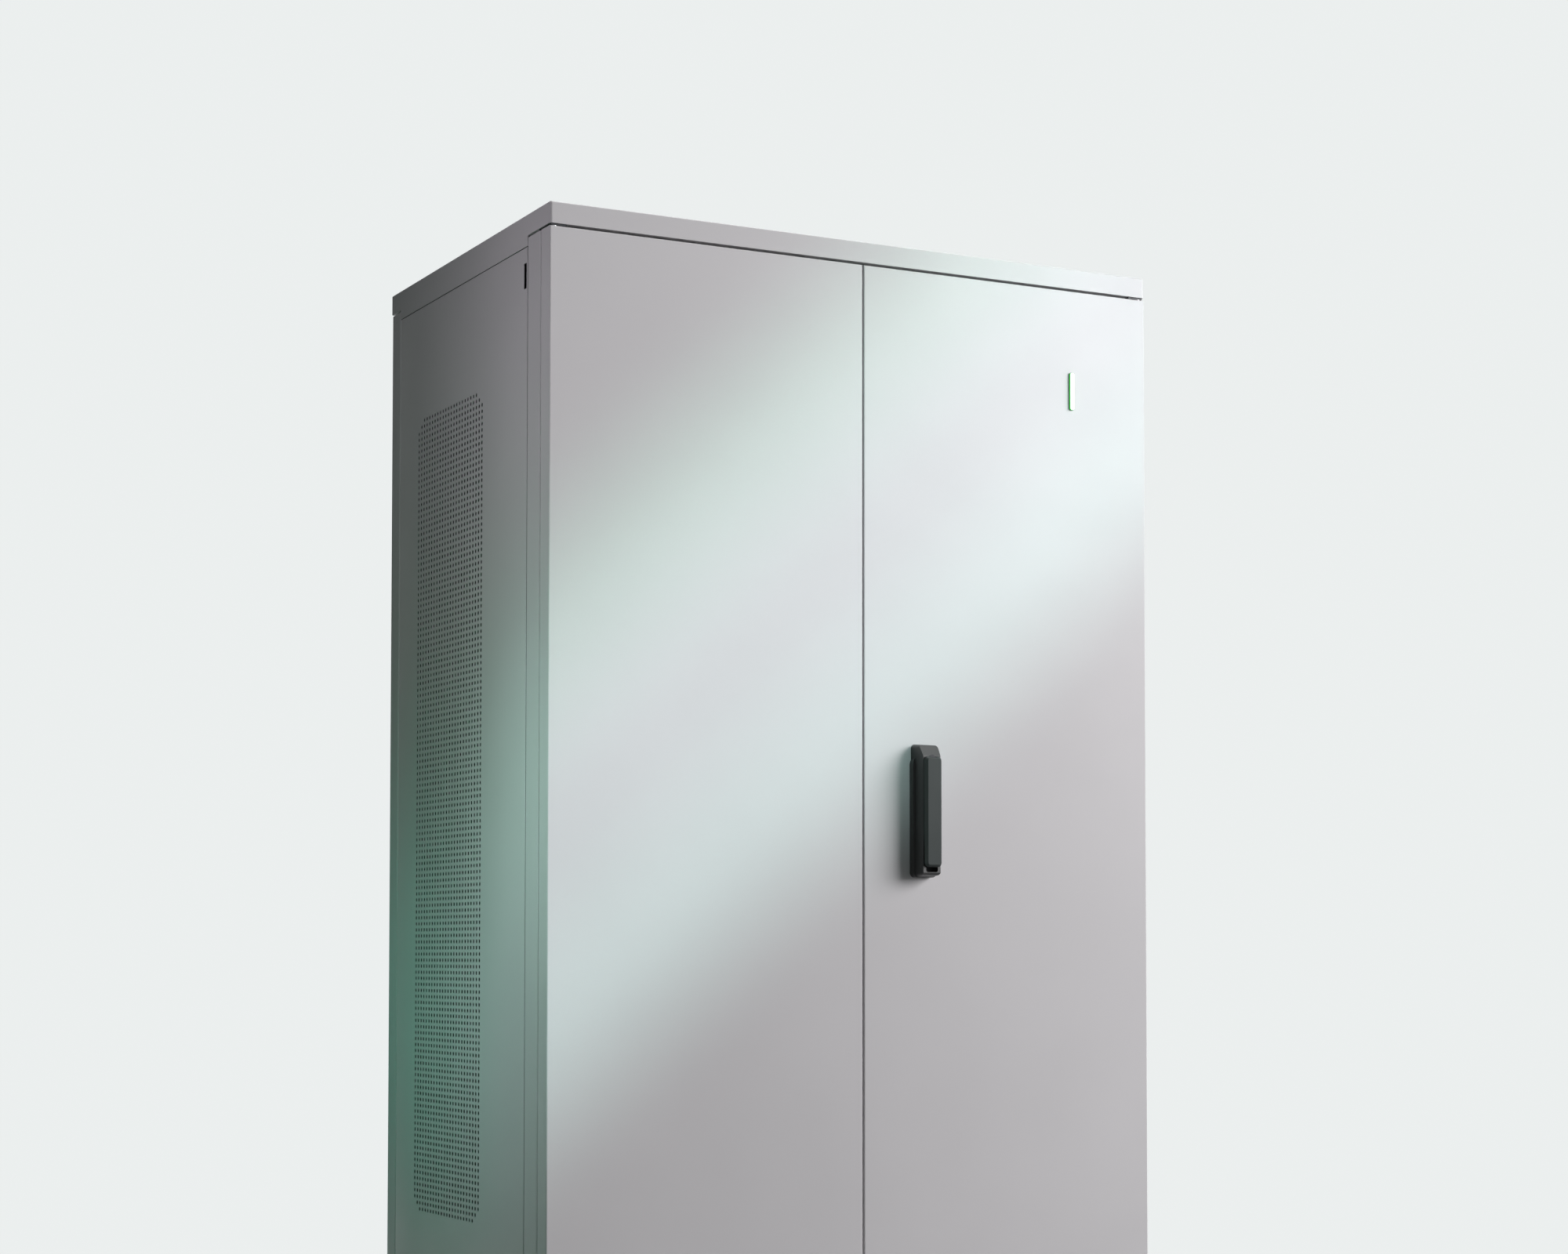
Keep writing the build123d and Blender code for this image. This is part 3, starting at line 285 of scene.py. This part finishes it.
# Parts seen through the gaps round the doors and the lever are near black: painted gap shade
gap_shade_zinc = zinc_sheet("zinc painted as gap shade", (0.030, 0.031, 0.033), (0.045, 0.046, 0.048))
finishes_of_nodes = dict.fromkeys(("hinge_brackets", "handle_spindle", "lever_pin"), gap_shade_zinc)

for subpart in frame["record"]["subparts"]:
    finish = finishes_of_nodes.get(subpart["node"], finishes[subpart["material_slot"]])
    slots = nodes[subpart["node"]].material_slots
    if len(slots) == 0:
        nodes[subpart["node"]].data.materials.append(finish)
    for slot in slots:
        slot.link = "OBJECT"
        slot.material = finish


# Meshes

sharp_angle = 35.0


def in_scene(name, data):
    """A new object in the scene, which holds the given mesh, lamp or camera."""
    holder = bpy.data.objects.new(name, data)
    bpy.context.scene.collection.objects.link(holder)
    return holder


def add_piece(name, points, faces, body, slot):
    """A mesh from an array of points and a list of arrays of face indices, shaded smooth except
    where two faces meet at more than the sharp angle."""
    mesh = bpy.data.meshes.new(name)
    corners = np.concatenate([group.ravel() for group in faces])
    used, places = np.unique(corners, return_inverse=True)
    points = np.asarray(points, float).reshape(-1, 3)[used]
    sizes = np.concatenate([np.full(len(group), group.shape[1]) for group in faces])
    starts = np.concatenate([[0], np.cumsum(sizes)[:-1]])
    mesh.vertices.add(len(points))
    mesh.vertices.foreach_set("co", points.ravel())
    mesh.loops.add(len(places))
    mesh.loops.foreach_set("vertex_index", places.astype(np.int32))
    mesh.polygons.add(len(sizes))
    mesh.polygons.foreach_set("loop_start", starts.astype(np.int32))
    mesh.polygons.foreach_set("use_smooth", np.ones(len(sizes), bool))
    mesh.update(calc_edges=True)
    mesh.validate()
    mesh.set_sharp_from_angle(angle=math.radians(sharp_angle))
    mesh.materials.append(finishes[slot])
    piece = in_scene(name, mesh)
    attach(piece, body)
    return piece


# Perforated side panels

panel_sheet = 0.9 * mm
panel_bend = 1.0 * mm
panel_bend_angles = (30.0, 60.0, 90.0)
panel_return = 12.0 * mm
hole_radius = 3.9 * mm
hole_pitch_y = 14.2 * mm
hole_pitch_z = 11.2 * mm
hole_columns = 24
hole_rows = 132
corner_steps = 2
field_front = 205.0 * mm
field_low = 198.0 * mm
finger_width = 12.0 * mm
finger_height = 44.0 * mm
finger_inset = 2.5 * mm
finger_drop = 27.0 * mm


def perforated_panel(side):
    """A folded sheet with round holes. The face is a lattice whose lines run through the edges and
    the middles of the hole cells. Each hole cell is a ring of eight quads from the cell's edge to a
    circle, at angle a the point centre + radius * (cos a, sin a), and the circle is carried through
    the sheet. The field's corners are stepped: a cell has a hole if its number from the nearest end
    plus its number from the nearest side is at least the steps. The border is a profile of (inset,
    depth) pairs carried round the face's edge: at an inset of d each edge point is held to the
    rectangle that is d smaller on every side."""
    low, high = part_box("left_side_panel")
    high_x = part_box("right_side_panel")[1].x
    y_low, y_high, z_low, z_high = low.y, high.y, low.z, high.z

    # Lattice lines, edge to edge. The finger slot's come before the hole cells' along Y, and after
    # them along Z
    finger_y = y_low + finger_inset + np.array([0.0, finger_width])
    finger_z = z_high - finger_drop - np.array([finger_height, 0.0])
    field_y = y_low + field_front + hole_pitch_y / 2 * np.arange(2 * hole_columns + 1)
    field_z = z_low + field_low + hole_pitch_z / 2 * np.arange(2 * hole_rows + 1)
    lines_y = np.concatenate([[y_low], finger_y, field_y, [y_high]])
    lines_z = np.concatenate([[z_low], field_z, finger_z, [z_high]])
    slot_y, first_y = 1, 1 + len(finger_y)
    slot_z, first_z = 1 + len(field_z), 1
    corner = np.arange(len(lines_y) * len(lines_z)).reshape(len(lines_y), len(lines_z))

    column, row = np.meshgrid(np.arange(hole_columns), np.arange(hole_rows), indexing="ij")
    from_end = np.minimum(row, hole_rows - 1 - row)
    from_side = np.minimum(column, hole_columns - 1 - column)
    holed = from_end + from_side >= corner_steps
    hole_y = first_y + 2 * column[holed]
    hole_z = first_z + 2 * row[holed]

    open_cell = np.zeros((len(lines_y) - 1, len(lines_z) - 1), bool)
    for step_y in (0, 1):
        for step_z in (0, 1):
            open_cell[hole_y + step_y, hole_z + step_z] = True
    open_cell[slot_y, slot_z] = True
    i, j = np.nonzero(~open_cell)
    plain_quads = np.stack([corner[i, j], corner[i + 1, j], corner[i + 1, j + 1],
                            corner[i, j + 1]], -1)

    # The eight points round a hole cell, from its low corner on, and the angle of each
    step_y = np.array([0, 1, 2, 2, 2, 1, 0, 0])
    step_z = np.array([0, 0, 0, 1, 2, 2, 2, 1])
    angle = np.radians(-135.0 + 45.0 * np.arange(8))
    rim = corner[hole_y[:, None] + step_y, hole_z[:, None] + step_z]
    ring_y = lines_y[hole_y + 1][:, None] + hole_radius * np.cos(angle)
    ring_z = lines_z[hole_z + 1][:, None] + hole_radius * np.sin(angle)
    ring = corner.size + np.arange(ring_y.size).reshape(ring_y.shape)
    ring_quads = np.stack([rim, np.roll(rim, -1, 1), np.roll(ring, -1, 1), ring], -1)
    face_count = corner.size + ring_y.size

    def face_points(inset, depth):
        y, z = np.meshgrid(lines_y, lines_z, indexing="ij")
        y = np.concatenate([np.clip(y, y_low + inset, y_high - inset).ravel(), ring_y.ravel()])
        z = np.concatenate([np.clip(z, z_low + inset, z_high - inset).ravel(), ring_z.ravel()])
        return np.stack([np.full(len(y), high_x - depth), y, z], -1)

    def sheet_wall(loops):
        ahead = np.roll(loops, -1, 1)
        return np.stack([loops, ahead, ahead + face_count, loops + face_count], -1).reshape(-1, 4)

    outer = face_points(panel_bend, 0.0)
    inner = face_points(panel_sheet, panel_sheet)
    face = np.concatenate([plain_quads, ring_quads.reshape(-1, 4)])
    slot_loop = np.array([[corner[slot_y, slot_z], corner[slot_y + 1, slot_z],
                           corner[slot_y + 1, slot_z + 1], corner[slot_y, slot_z + 1]]])

    loop = np.concatenate([corner[:-1, 0], corner[-1, :-1], corner[:0:-1, -1], corner[0, :0:-1]])
    loop_y = np.broadcast_to(lines_y[:, None], corner.shape).ravel()[loop]
    loop_z = np.broadcast_to(lines_z, corner.shape).ravel()[loop]
    turn = np.radians(np.array(panel_bend_angles))
    inset = np.concatenate([panel_bend * (1 - np.sin(turn)), [0.0, panel_sheet]])
    depth = np.concatenate([panel_bend * (1 - np.cos(turn)), [panel_return, panel_return]])
    border = np.stack([
        np.broadcast_to(high_x - depth[:, None], (len(inset), len(loop))),
        np.clip(loop_y, y_low + inset[:, None], y_high - inset[:, None]),
        np.clip(loop_z, z_low + inset[:, None], z_high - inset[:, None]),
    ], -1)
    border_rows = 2 * face_count + np.arange(border[..., 0].size).reshape(len(inset), -1)
    level = np.concatenate([[loop], border_rows, [loop + face_count]])
    ahead = np.roll(level, -1, 1)
    border_quads = np.stack([level[:-1], level[1:], ahead[1:], ahead[:-1]], -1).reshape(-1, 4)

    points = np.concatenate([outer, inner, border.reshape(-1, 3)])
    quads = np.concatenate([face, (face + face_count)[:, ::-1], sheet_wall(ring),
                            sheet_wall(slot_loop), border_quads])
    if side < 0:
        points = points * np.array([-1.0, 1.0, 1.0])
        quads = quads[:, ::-1]
    return points, [quads]


for side, word in ((-1, "left"), (1, "right")):
    panel = add_piece(f"{word}_perforated_panel", *perforated_panel(side),
                      "cabinet", "cabinet_paint")
    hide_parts(f"{word}_side_panel")


# Shapes of the small hardware

def stack_quads(rings, sides):
    """Quads between each ring of a stack and the next, every ring closed on itself."""
    start = np.arange(rings - 1)[:, None] * sides
    side = np.arange(sides)
    after = (side + 1) % sides
    quads = np.stack([start + side, start + sides + side, start + sides + after, start + after], -1)
    return quads.reshape(-1, 4)


def closed_stacks(places, rings, first_end, last_end):
    """One closed stack of rings at each place, its point p moved to place + p. Quads join each ring
    to the next, and triangles close the first and the last on the end points."""
    count, sides = rings.shape[:2]
    one = np.concatenate([rings.reshape(-1, 3), [first_end, last_end]])
    places = np.asarray(places).reshape(-1, 3)
    points = (places[:, None] + one).reshape(-1, 3)
    shift = (np.arange(len(places)) * len(one))[:, None, None]
    side = np.arange(sides)
    after = (side + 1) % sides
    top = (count - 1) * sides
    triangles = np.concatenate([
        np.stack([after, side, np.full(sides, count * sides)], -1),
        np.stack([top + side, top + after, np.full(sides, count * sides + 1)], -1),
    ])
    quads = stack_quads(count, sides)[:, ::-1]
    return points, [(quads + shift).reshape(-1, 4), (triangles + shift).reshape(-1, 3)]


def turned_heads(places, profile, sides):
    """One closed turned shape at each place, its axis along -Y: the profile's (radius, height)
    pairs, in millimetres, are carried round the axis, at angle a the point (radius cos a, -height,
    radius sin a), and both ends of the profile close on the axis."""
    profile = np.asarray(profile) * mm
    angle = 2 * np.pi * np.arange(sides) / sides
    rings = np.stack([
        profile[:, :1] * np.cos(angle),
        np.broadcast_to(-profile[:, 1:], (len(profile), sides)),
        profile[:, :1] * np.sin(angle),
    ], -1)
    return closed_stacks(places, rings, [0.0, -profile[0, 1], 0.0], [0.0, -profile[-1, 1], 0.0])


def cushions(places, half_width, half_height, rise, power, sides, crown):
    """One closed raised pad at each place, facing -Y. Its outline is a superellipse: at angle a the
    point (w |cos a|^(2/p), h |sin a|^(2/p)) with the signs of cos a and sin a. The outline goes
    straight up for half the rise, then shrinks by a quarter turn of an ellipse that is half the
    rise high and crown times the smaller half size wide, and closes flat on the middle."""
    angle = 2 * np.pi * np.arange(sides) / sides
    outline_x = half_width * np.sign(np.cos(angle)) * np.abs(np.cos(angle)) ** (2 / power)
    outline_z = half_height * np.sign(np.sin(angle)) * np.abs(np.sin(angle)) ** (2 / power)
    turn = np.radians(np.array([0.0, 0.0, 30.0, 60.0, 90.0]))
    straight = np.array([0.0, 0.5, 0.5, 0.5, 0.5])
    inset = min(half_width, half_height) * crown * (1 - np.cos(turn))
    height = rise * straight + rise * 0.5 * np.sin(turn)
    rings = np.stack([
        outline_x * (1 - inset[:, None] / half_width),
        np.broadcast_to(-height[:, None], (len(turn), sides)),
        outline_z * (1 - inset[:, None] / half_height),
    ], -1)
    return closed_stacks(places, rings, [0.0, 0.0, 0.0], [0.0, -rise, 0.0])


def turned_aside(points, side):
    """Points that face -Y, turned a quarter about the upright axis to face the given side."""
    return np.stack([-side * points[:, 1], side * points[:, 0], points[:, 2]], -1)


def edge_seal(side, gap, depth_out, depth_in):
    """A strip of oblong section round three edges of a side panel: up the front, across the top,
    down the back. Its section's corners are (offset, depth) pairs, and each is carried along the
    panel's outline grown by the offset, so the strip turns its corners with a mitre."""
    low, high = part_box("left_side_panel")
    offset = np.array([0.0, gap, gap, 0.0])
    depth = np.array([depth_out, depth_out, depth_in, depth_in])
    y = np.stack([low.y - offset, low.y - offset, high.y + offset, high.y + offset])
    z = np.stack([np.full(4, low.z), high.z + offset, high.z + offset, np.full(4, low.z)])
    x = np.broadcast_to(side * (cad_high.x - depth), y.shape)
    points = np.stack([x, y, z], -1).reshape(-1, 3)
    cut_ends = np.array([[0, 1, 2, 3], [15, 14, 13, 12]])
    quads = np.concatenate([stack_quads(4, 4), cut_ends])
    return points, [quads if side > 0 else quads[:, ::-1]]


# Mats behind the perforations, and seals round the panels, both near black as painted shade

panel_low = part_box("left_side_panel")[0]
field_half_y = hole_columns * hole_pitch_y / 2
field_half_z = hole_rows * hole_pitch_z / 2
field_middle_y = panel_low.y + field_front + field_half_y
field_middle_z = panel_low.z + field_low + field_half_z
mat_rise = 3.0 * mm
mat_margin = 8.0 * mm
mat_gap = 0.2 * mm
seal_gap = 1.5 * mm
seal_front = 1.0 * mm
seal_back = 6.0 * mm

# The mats' near-black rubber is painted shade: the dark inside of the cabinet, seen through the
# holes
mat, mat_faces = cushions([0.0, 0.0, 0.0], field_half_y + mat_margin, field_half_z + mat_margin,
                          mat_rise, power=20.0, sides=48, crown=0.02)
for side, word in ((-1, "left"), (1, "right")):
    mat_x = side * (cad_high.x - panel_sheet - mat_gap - mat_rise)
    mat_points = turned_aside(mat, side) + (mat_x, field_middle_y, field_middle_z)
    add_piece(f"{word}_shade_filter_mat", mat_points, mat_faces, "cabinet", "seal_rubber")
    # The seal's black rubber is painted shade: the dark in the gap between the panel and the frame
    add_piece(f"{word}_panel_shade_seal", *edge_seal(side, seal_gap, seal_front, seal_back),
              "cabinet", "seal_rubber")


# Hardware on the fronts of the modules and of the two units

module_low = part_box("module_fronts")[0]
plate_y = module_low.y
bay_middle = 290.0 * mm
module_pitch = 177.8 * mm
module_height = 133.0 * mm
module_count = 8
level_middles = module_low.z + module_height / 2 + module_pitch * np.arange(module_count)
unit_low, unit_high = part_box("control_unit")
unit_middle = (unit_low.z + unit_high.z) / 2
bays = np.array([-bay_middle, bay_middle])
left_bay, right_bay = bays[:1], bays[1:]


def spread_out(xs, zs, y=plate_y):
    """A place for every pair of an x and a z, at one depth."""
    x, z = np.meshgrid(xs, zs, indexing="ij")
    return np.stack([x.ravel(), np.full(x.size, y), z.ravel()], -1)


def each_module(xs, zs, y=plate_y):
    """The same places on every module's front, given from the middle of that front."""
    return spread_out(np.add.outer(bays, xs).ravel(), np.add.outer(level_middles, zs).ravel(), y)


def each_unit(middles, xs, zs):
    """The same places on the unit of each bay given, from the middle of that unit's front."""
    return spread_out(np.add.outer(middles, xs).ravel(), unit_middle + np.asarray(zs))


def both_ways(distance):
    """A distance to either side of a middle."""
    return [-distance, distance]


screw_profile = [(5.2, 0.0), (5.2, 1.0), (4.7, 2.0), (3.6, 2.7), (2.3, 2.9), (2.0, 2.8), (1.9, 1.2)]
screw_sides = 12
screw_x = 232 * mm
module_screw_z = 45 * mm
unit_screw_z = 62 * mm
front_screws = np.concatenate([
    each_module(both_ways(screw_x), both_ways(module_screw_z)),
    each_unit(bays, both_ways(screw_x), both_ways(unit_screw_z)),
])
add_piece("front_plate_screws", *turned_heads(front_screws, screw_profile, screw_sides),
          "cabinet", "bright_steel")

louvre_rows = np.arange(-4, 5) * 9.5 * mm
module_louvre_x = -62 * mm
unit_louvre_xs = np.array([-150 * mm, -60 * mm])
unit_louvre_spread = 1.2
louvres = np.concatenate([
    each_module([module_louvre_x], louvre_rows),
    each_unit(left_bay, unit_louvre_xs, louvre_rows * unit_louvre_spread),
    each_unit(right_bay, unit_louvre_xs[:1], louvre_rows * unit_louvre_spread),
])
add_piece("front_louvres",
          *cushions(louvres, 36 * mm, 2.6 * mm, 2.4 * mm, power=5.0, sides=20, crown=0.9),
          "cabinet", "module_front")

module_socket_xs = [28 * mm, 56 * mm, 84 * mm]
module_socket_z = -14 * mm
unit_socket_xs = [40 * mm, 70 * mm, 100 * mm]
unit_socket_z = -40 * mm
sockets = np.concatenate([
    each_module(module_socket_xs, [module_socket_z]),
    each_unit(left_bay, unit_socket_xs, [unit_socket_z]),
])
add_piece("socket_covers",
          *cushions(sockets, 10 * mm, 8.5 * mm, 3.5 * mm, power=7.0, sides=20, crown=0.25),
          "cabinet", "grip_black")

lamp_profile = [(2.6, 0.0), (2.6, 0.8), (2.3, 1.5), (1.5, 2.1), (0.6, 2.35)]
lamp_pitch = 13 * mm
module_lamp_start, module_lamp_z = 26 * mm, 26 * mm
unit_lamp_start, unit_lamp_z = 36 * mm, 52 * mm
lamps = np.concatenate([
    each_module(np.arange(5) * lamp_pitch + module_lamp_start, [module_lamp_z]),
    each_unit(left_bay, np.arange(6) * lamp_pitch + unit_lamp_start, [unit_lamp_z]),
])
add_piece("indicator_lamps", *turned_heads(lamps, lamp_profile, sides=10),
          "cabinet", "button_green")

nut_profile = [(9.5, 0.0), (9.5, 5.2), (8.6, 6.2), (5.2, 6.2), (5.0, 8.6), (4.2, 9.2)]
nut_x = 140 * mm
bar_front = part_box("module_link_bars")[0].y
nuts = each_module(both_ways(nut_x), [0.0], bar_front)
add_piece("terminal_nuts", *turned_heads(nuts, nut_profile, sides=6), "cabinet", "bright_steel")

display_x, display_z = 70 * mm, 12 * mm
display = each_unit(left_bay, [display_x], [display_z])
add_piece("unit_display",
          *cushions(display, 52 * mm, 24 * mm, 2.2 * mm, power=9.0, sides=40, crown=0.08),
          "cabinet", "toggle_black")

breaker_low, breaker_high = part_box("main_breaker")
breaker_screw_inset = 14 * mm
breaker_screws = spread_out(
    [breaker_low.x + breaker_screw_inset, breaker_high.x - breaker_screw_inset],
    [breaker_low.z + breaker_screw_inset, breaker_high.z - breaker_screw_inset], breaker_low.y)
add_piece("breaker_screws", *turned_heads(breaker_screws, screw_profile, screw_sides),
          "cabinet", "bright_steel")


# Stage, light and camera

def fed_node(tree, kind, inputs):
    """A new node whose inputs take the given values or the given outputs of other nodes."""
    node = tree.nodes.new(kind)
    for socket, value in inputs.items():
        if isinstance(value, bpy.types.NodeSocket):
            tree.links.new(value, node.inputs[socket])
        else:
            node.inputs[socket].default_value = value
    return node


def shown_rays(tree):
    """One for the rays that show the backdrop, which are camera, glossy and transmission rays, and
    zero for the others."""
    path = tree.nodes.new("ShaderNodeLightPath")
    seen = path.outputs["Is Camera Ray"]
    for name in ("Is Glossy Ray", "Is Transmission Ray"):
        larger = fed_node(tree, "ShaderNodeMath", {0: seen, 1: path.outputs[name]})
        larger.operation = "MAXIMUM"
        seen = larger.outputs[0]
    return seen


backdrop = (0.835, 0.862, 0.858, 1.0)
ambient = (0.86, 0.90, 0.92, 1.0)
ambient_strength = 0.012

world = bpy.data.worlds.new("studio")
bpy.context.scene.world = world
world.use_nodes = True
world_tree = world.node_tree
world_tree.nodes.clear()
ambient_light = fed_node(world_tree, "ShaderNodeBackground",
                         {"Color": ambient, "Strength": ambient_strength})
shown = fed_node(world_tree, "ShaderNodeBackground", {"Color": backdrop})
either = fed_node(world_tree, "ShaderNodeMixShader", {
    0: shown_rays(world_tree), 1: ambient_light.outputs[0], 2: shown.outputs[0]})
fed_node(world_tree, "ShaderNodeOutputWorld", {"Surface": either.outputs[0]})

floor_reach = 30.0
floor_for_light = (0.22, 0.22, 0.22, 1)
floor_shown = (0.70, 0.71, 0.71, 1)
fade_start, fade_end = 0.55, 1.5


def studio_floor():
    """A square floor, each corner its reach away along both axes. Its own shading, with the
    cabinet's shadow, fades into the backdrop's colour. It is darker to the rays that only carry
    light, so little light is thrown back up."""
    mesh = bpy.data.meshes.new("studio_floor")
    r = floor_reach
    mesh.from_pydata([(-r, -r, 0), (r, -r, 0), (r, r, 0), (-r, r, 0)], [], [(0, 1, 2, 3)])
    floor = in_scene("studio_floor", mesh)
    paint = bpy.data.materials.new("studio floor")
    paint.use_nodes = True
    tree = paint.node_tree
    tree.nodes.clear()
    tones = tree.nodes.new("ShaderNodeMix")
    tones.data_type = "RGBA"
    tones.inputs[mix_first].default_value = floor_for_light
    tones.inputs[mix_second].default_value = floor_shown
    tree.links.new(shown_rays(tree), tones.inputs[mix_factor])
    matt = fed_node(tree, "ShaderNodeBsdfDiffuse", {"Color": tones.outputs[mix_result]})
    plain = fed_node(tree, "ShaderNodeEmission", {"Color": backdrop})
    place = tree.nodes.new("ShaderNodeTexCoord")
    distance = fed_node(tree, "ShaderNodeVectorMath", {0: place.outputs["Object"]})
    distance.operation = "LENGTH"
    fade = fed_node(tree, "ShaderNodeMapRange", {
        "Value": distance.outputs["Value"], "From Min": fade_start, "From Max": fade_end})
    fade.interpolation_type = "SMOOTHSTEP"
    shown_far = fed_node(tree, "ShaderNodeMath", {0: fade.outputs["Result"], 1: shown_rays(tree)})
    shown_far.operation = "MULTIPLY"
    mix = fed_node(tree, "ShaderNodeMixShader", {
        0: shown_far.outputs[0], 1: matt.outputs[0], 2: plain.outputs[0]})
    fed_node(tree, "ShaderNodeOutputMaterial", {"Surface": mix.outputs[0]})
    mesh.materials.append(paint)


studio_floor()


def dark_flag(corners):
    """A black card beside the set, given by its four corners. The camera and the light pass it, and
    only reflections show it."""
    mesh = bpy.data.meshes.new("dark_flag")
    mesh.from_pydata(corners, [], [(0, 1, 2, 3)])
    card = in_scene("dark_flag", mesh)
    black = bpy.data.materials.new("flag cloth")
    black.use_nodes = True
    cloth = black.node_tree.nodes["Principled BSDF"]
    cloth.inputs["Base Color"].default_value = (0.01, 0.01, 0.01, 1)
    mesh.materials.append(black)
    card.visible_camera = False
    card.visible_diffuse = False
    card.visible_shadow = False


dark_flag([(-6.0, 1.6, 0.0), (-0.9, 3.4, 0.0), (-0.9, 3.4, 4.5), (-6.0, 1.6, 4.5)])


def soft_box(name, place, aim, size_x, size_y, power, colour=(1, 1, 1), spread=180.0, roll=0.0,
             glossy=True):
    """A rectangular lamp at a place, turned to face a point."""
    lamp = bpy.data.lights.new(name, "AREA")
    lamp.shape = "RECTANGLE"
    lamp.size = size_x
    lamp.size_y = size_y
    lamp.energy = power
    lamp.color = colour
    lamp.spread = math.radians(spread)
    holder = in_scene(name, lamp)
    holder.location = place
    way = np.subtract(aim, place)
    turn = math.atan2(way[0], way[1])
    tilt = math.atan2(way[2], math.hypot(way[0], way[1]))
    face = Euler((math.radians(90) + tilt, 0.0, -turn)).to_matrix()
    rolled = Euler((0.0, 0.0, math.radians(roll))).to_matrix()
    holder.rotation_euler = (face @ rolled).to_euler()
    holder.visible_camera = False
    holder.visible_glossy = glossy
    return holder


soft_box("main_light", (4.5, -4.2, 3.0), (0.0, -0.4, 1.1), 4.0, 3.2, 430.0, (1.0, 0.985, 1.0))

# A soft band that falls across the doors from the upper right to the lower left: four long narrow
# lamps side by side in front of them, each at its own distance across the band
band_roll = 41.0
band_spread = 30.0
band_length, band_width = 2.8, 0.12
band_middle_x, band_y, band_middle_z = 0.10, -1.35, 1.55
across = (math.sin(math.radians(band_roll)), -math.cos(math.radians(band_roll)))
for number, (offset, power, colour) in enumerate((
    (-0.25, 0.76, (0.55, 1.0, 0.80)),
    (-0.08, 0.71, (0.81, 0.97, 1.0)),
    (0.08, 0.50, (0.83, 1.0, 1.0)),
    (0.25, 0.90, (0.66, 1.0, 0.94)),
), 1):
    band_x = band_middle_x + offset * across[0]
    band_z = band_middle_z + offset * across[1]
    soft_box(f"band_light_{number}", (band_x, band_y, band_z), (band_x, cad_low.y, band_z),
             band_length, band_width, power, colour, band_spread, band_roll, glossy=False)

# Lamps beside the left side: a neutral one high up, and greener ones below it
for name, place, width, height, power, colour, spread in (
    ("left_high", (-1.27, -0.43, 1.72), 0.06, 0.90, 1.95, (1.0, 0.86, 1.0), 180.0),
    ("left_middle", (-1.55, -0.43, 1.00), 0.06, 0.40, 1.30, (0.16, 1.0, 0.42), 180.0),
    ("left_spot", (-1.25, -0.36, 1.02), 0.10, 0.45, 0.26, (0.66, 1.0, 0.93), 70.0),
    ("left_low_front", (-1.75, -0.25, 0.60), 0.34, 0.60, 0.24, (0.80, 0.90, 1.0), 46.0),
    ("left_low_back", (-1.75, 0.20, 0.60), 0.50, 0.60, 0.27, (0.20, 1.0, 0.72), 50.0),
):
    soft_box(name, place, (cad_low.x, place[1], place[2]), width, height, power, colour, spread,
             glossy=False)

# The back and the roof have lamps of their own
soft_box("back_light", (0.9, 4.6, 2.6), (0.3, 0.4, 1.1), 2.6, 2.2, 95.0, (0.96, 1.0, 1.0),
         glossy=False)
soft_box("roof_light", (0.0, 0.1, 4.2), (0.0, 0.11, 2.0), 1.0, 0.6, 34.0, glossy=False)

# A pale ceiling that matt surfaces don't get light from: it shows in reflections
ceiling = soft_box("ceiling", (0.3, -0.7, 4.6), (0.3, -0.6, 0.0), 3.0, 3.0, 160.0,
                   (0.96, 1.0, 0.99))
ceiling.visible_diffuse = False

camera_tilt = 2.364
camera_turn = -27.905
camera_data = bpy.data.cameras.new("camera")
camera_data.lens = 65.85
camera_data.sensor_width = 36.0
camera_data.shift_x = -0.0287
camera_data.shift_y = 0.1336
camera_data.clip_end = 100.0
camera = in_scene("camera", camera_data)
camera.location = (-2.4222, -4.8438, 0.7306)
camera.rotation_euler = (math.radians(90.0 + camera_tilt), 0.0, math.radians(camera_turn))
bpy.context.scene.camera = camera
bpy.context.scene.view_settings.view_transform = "Standard"
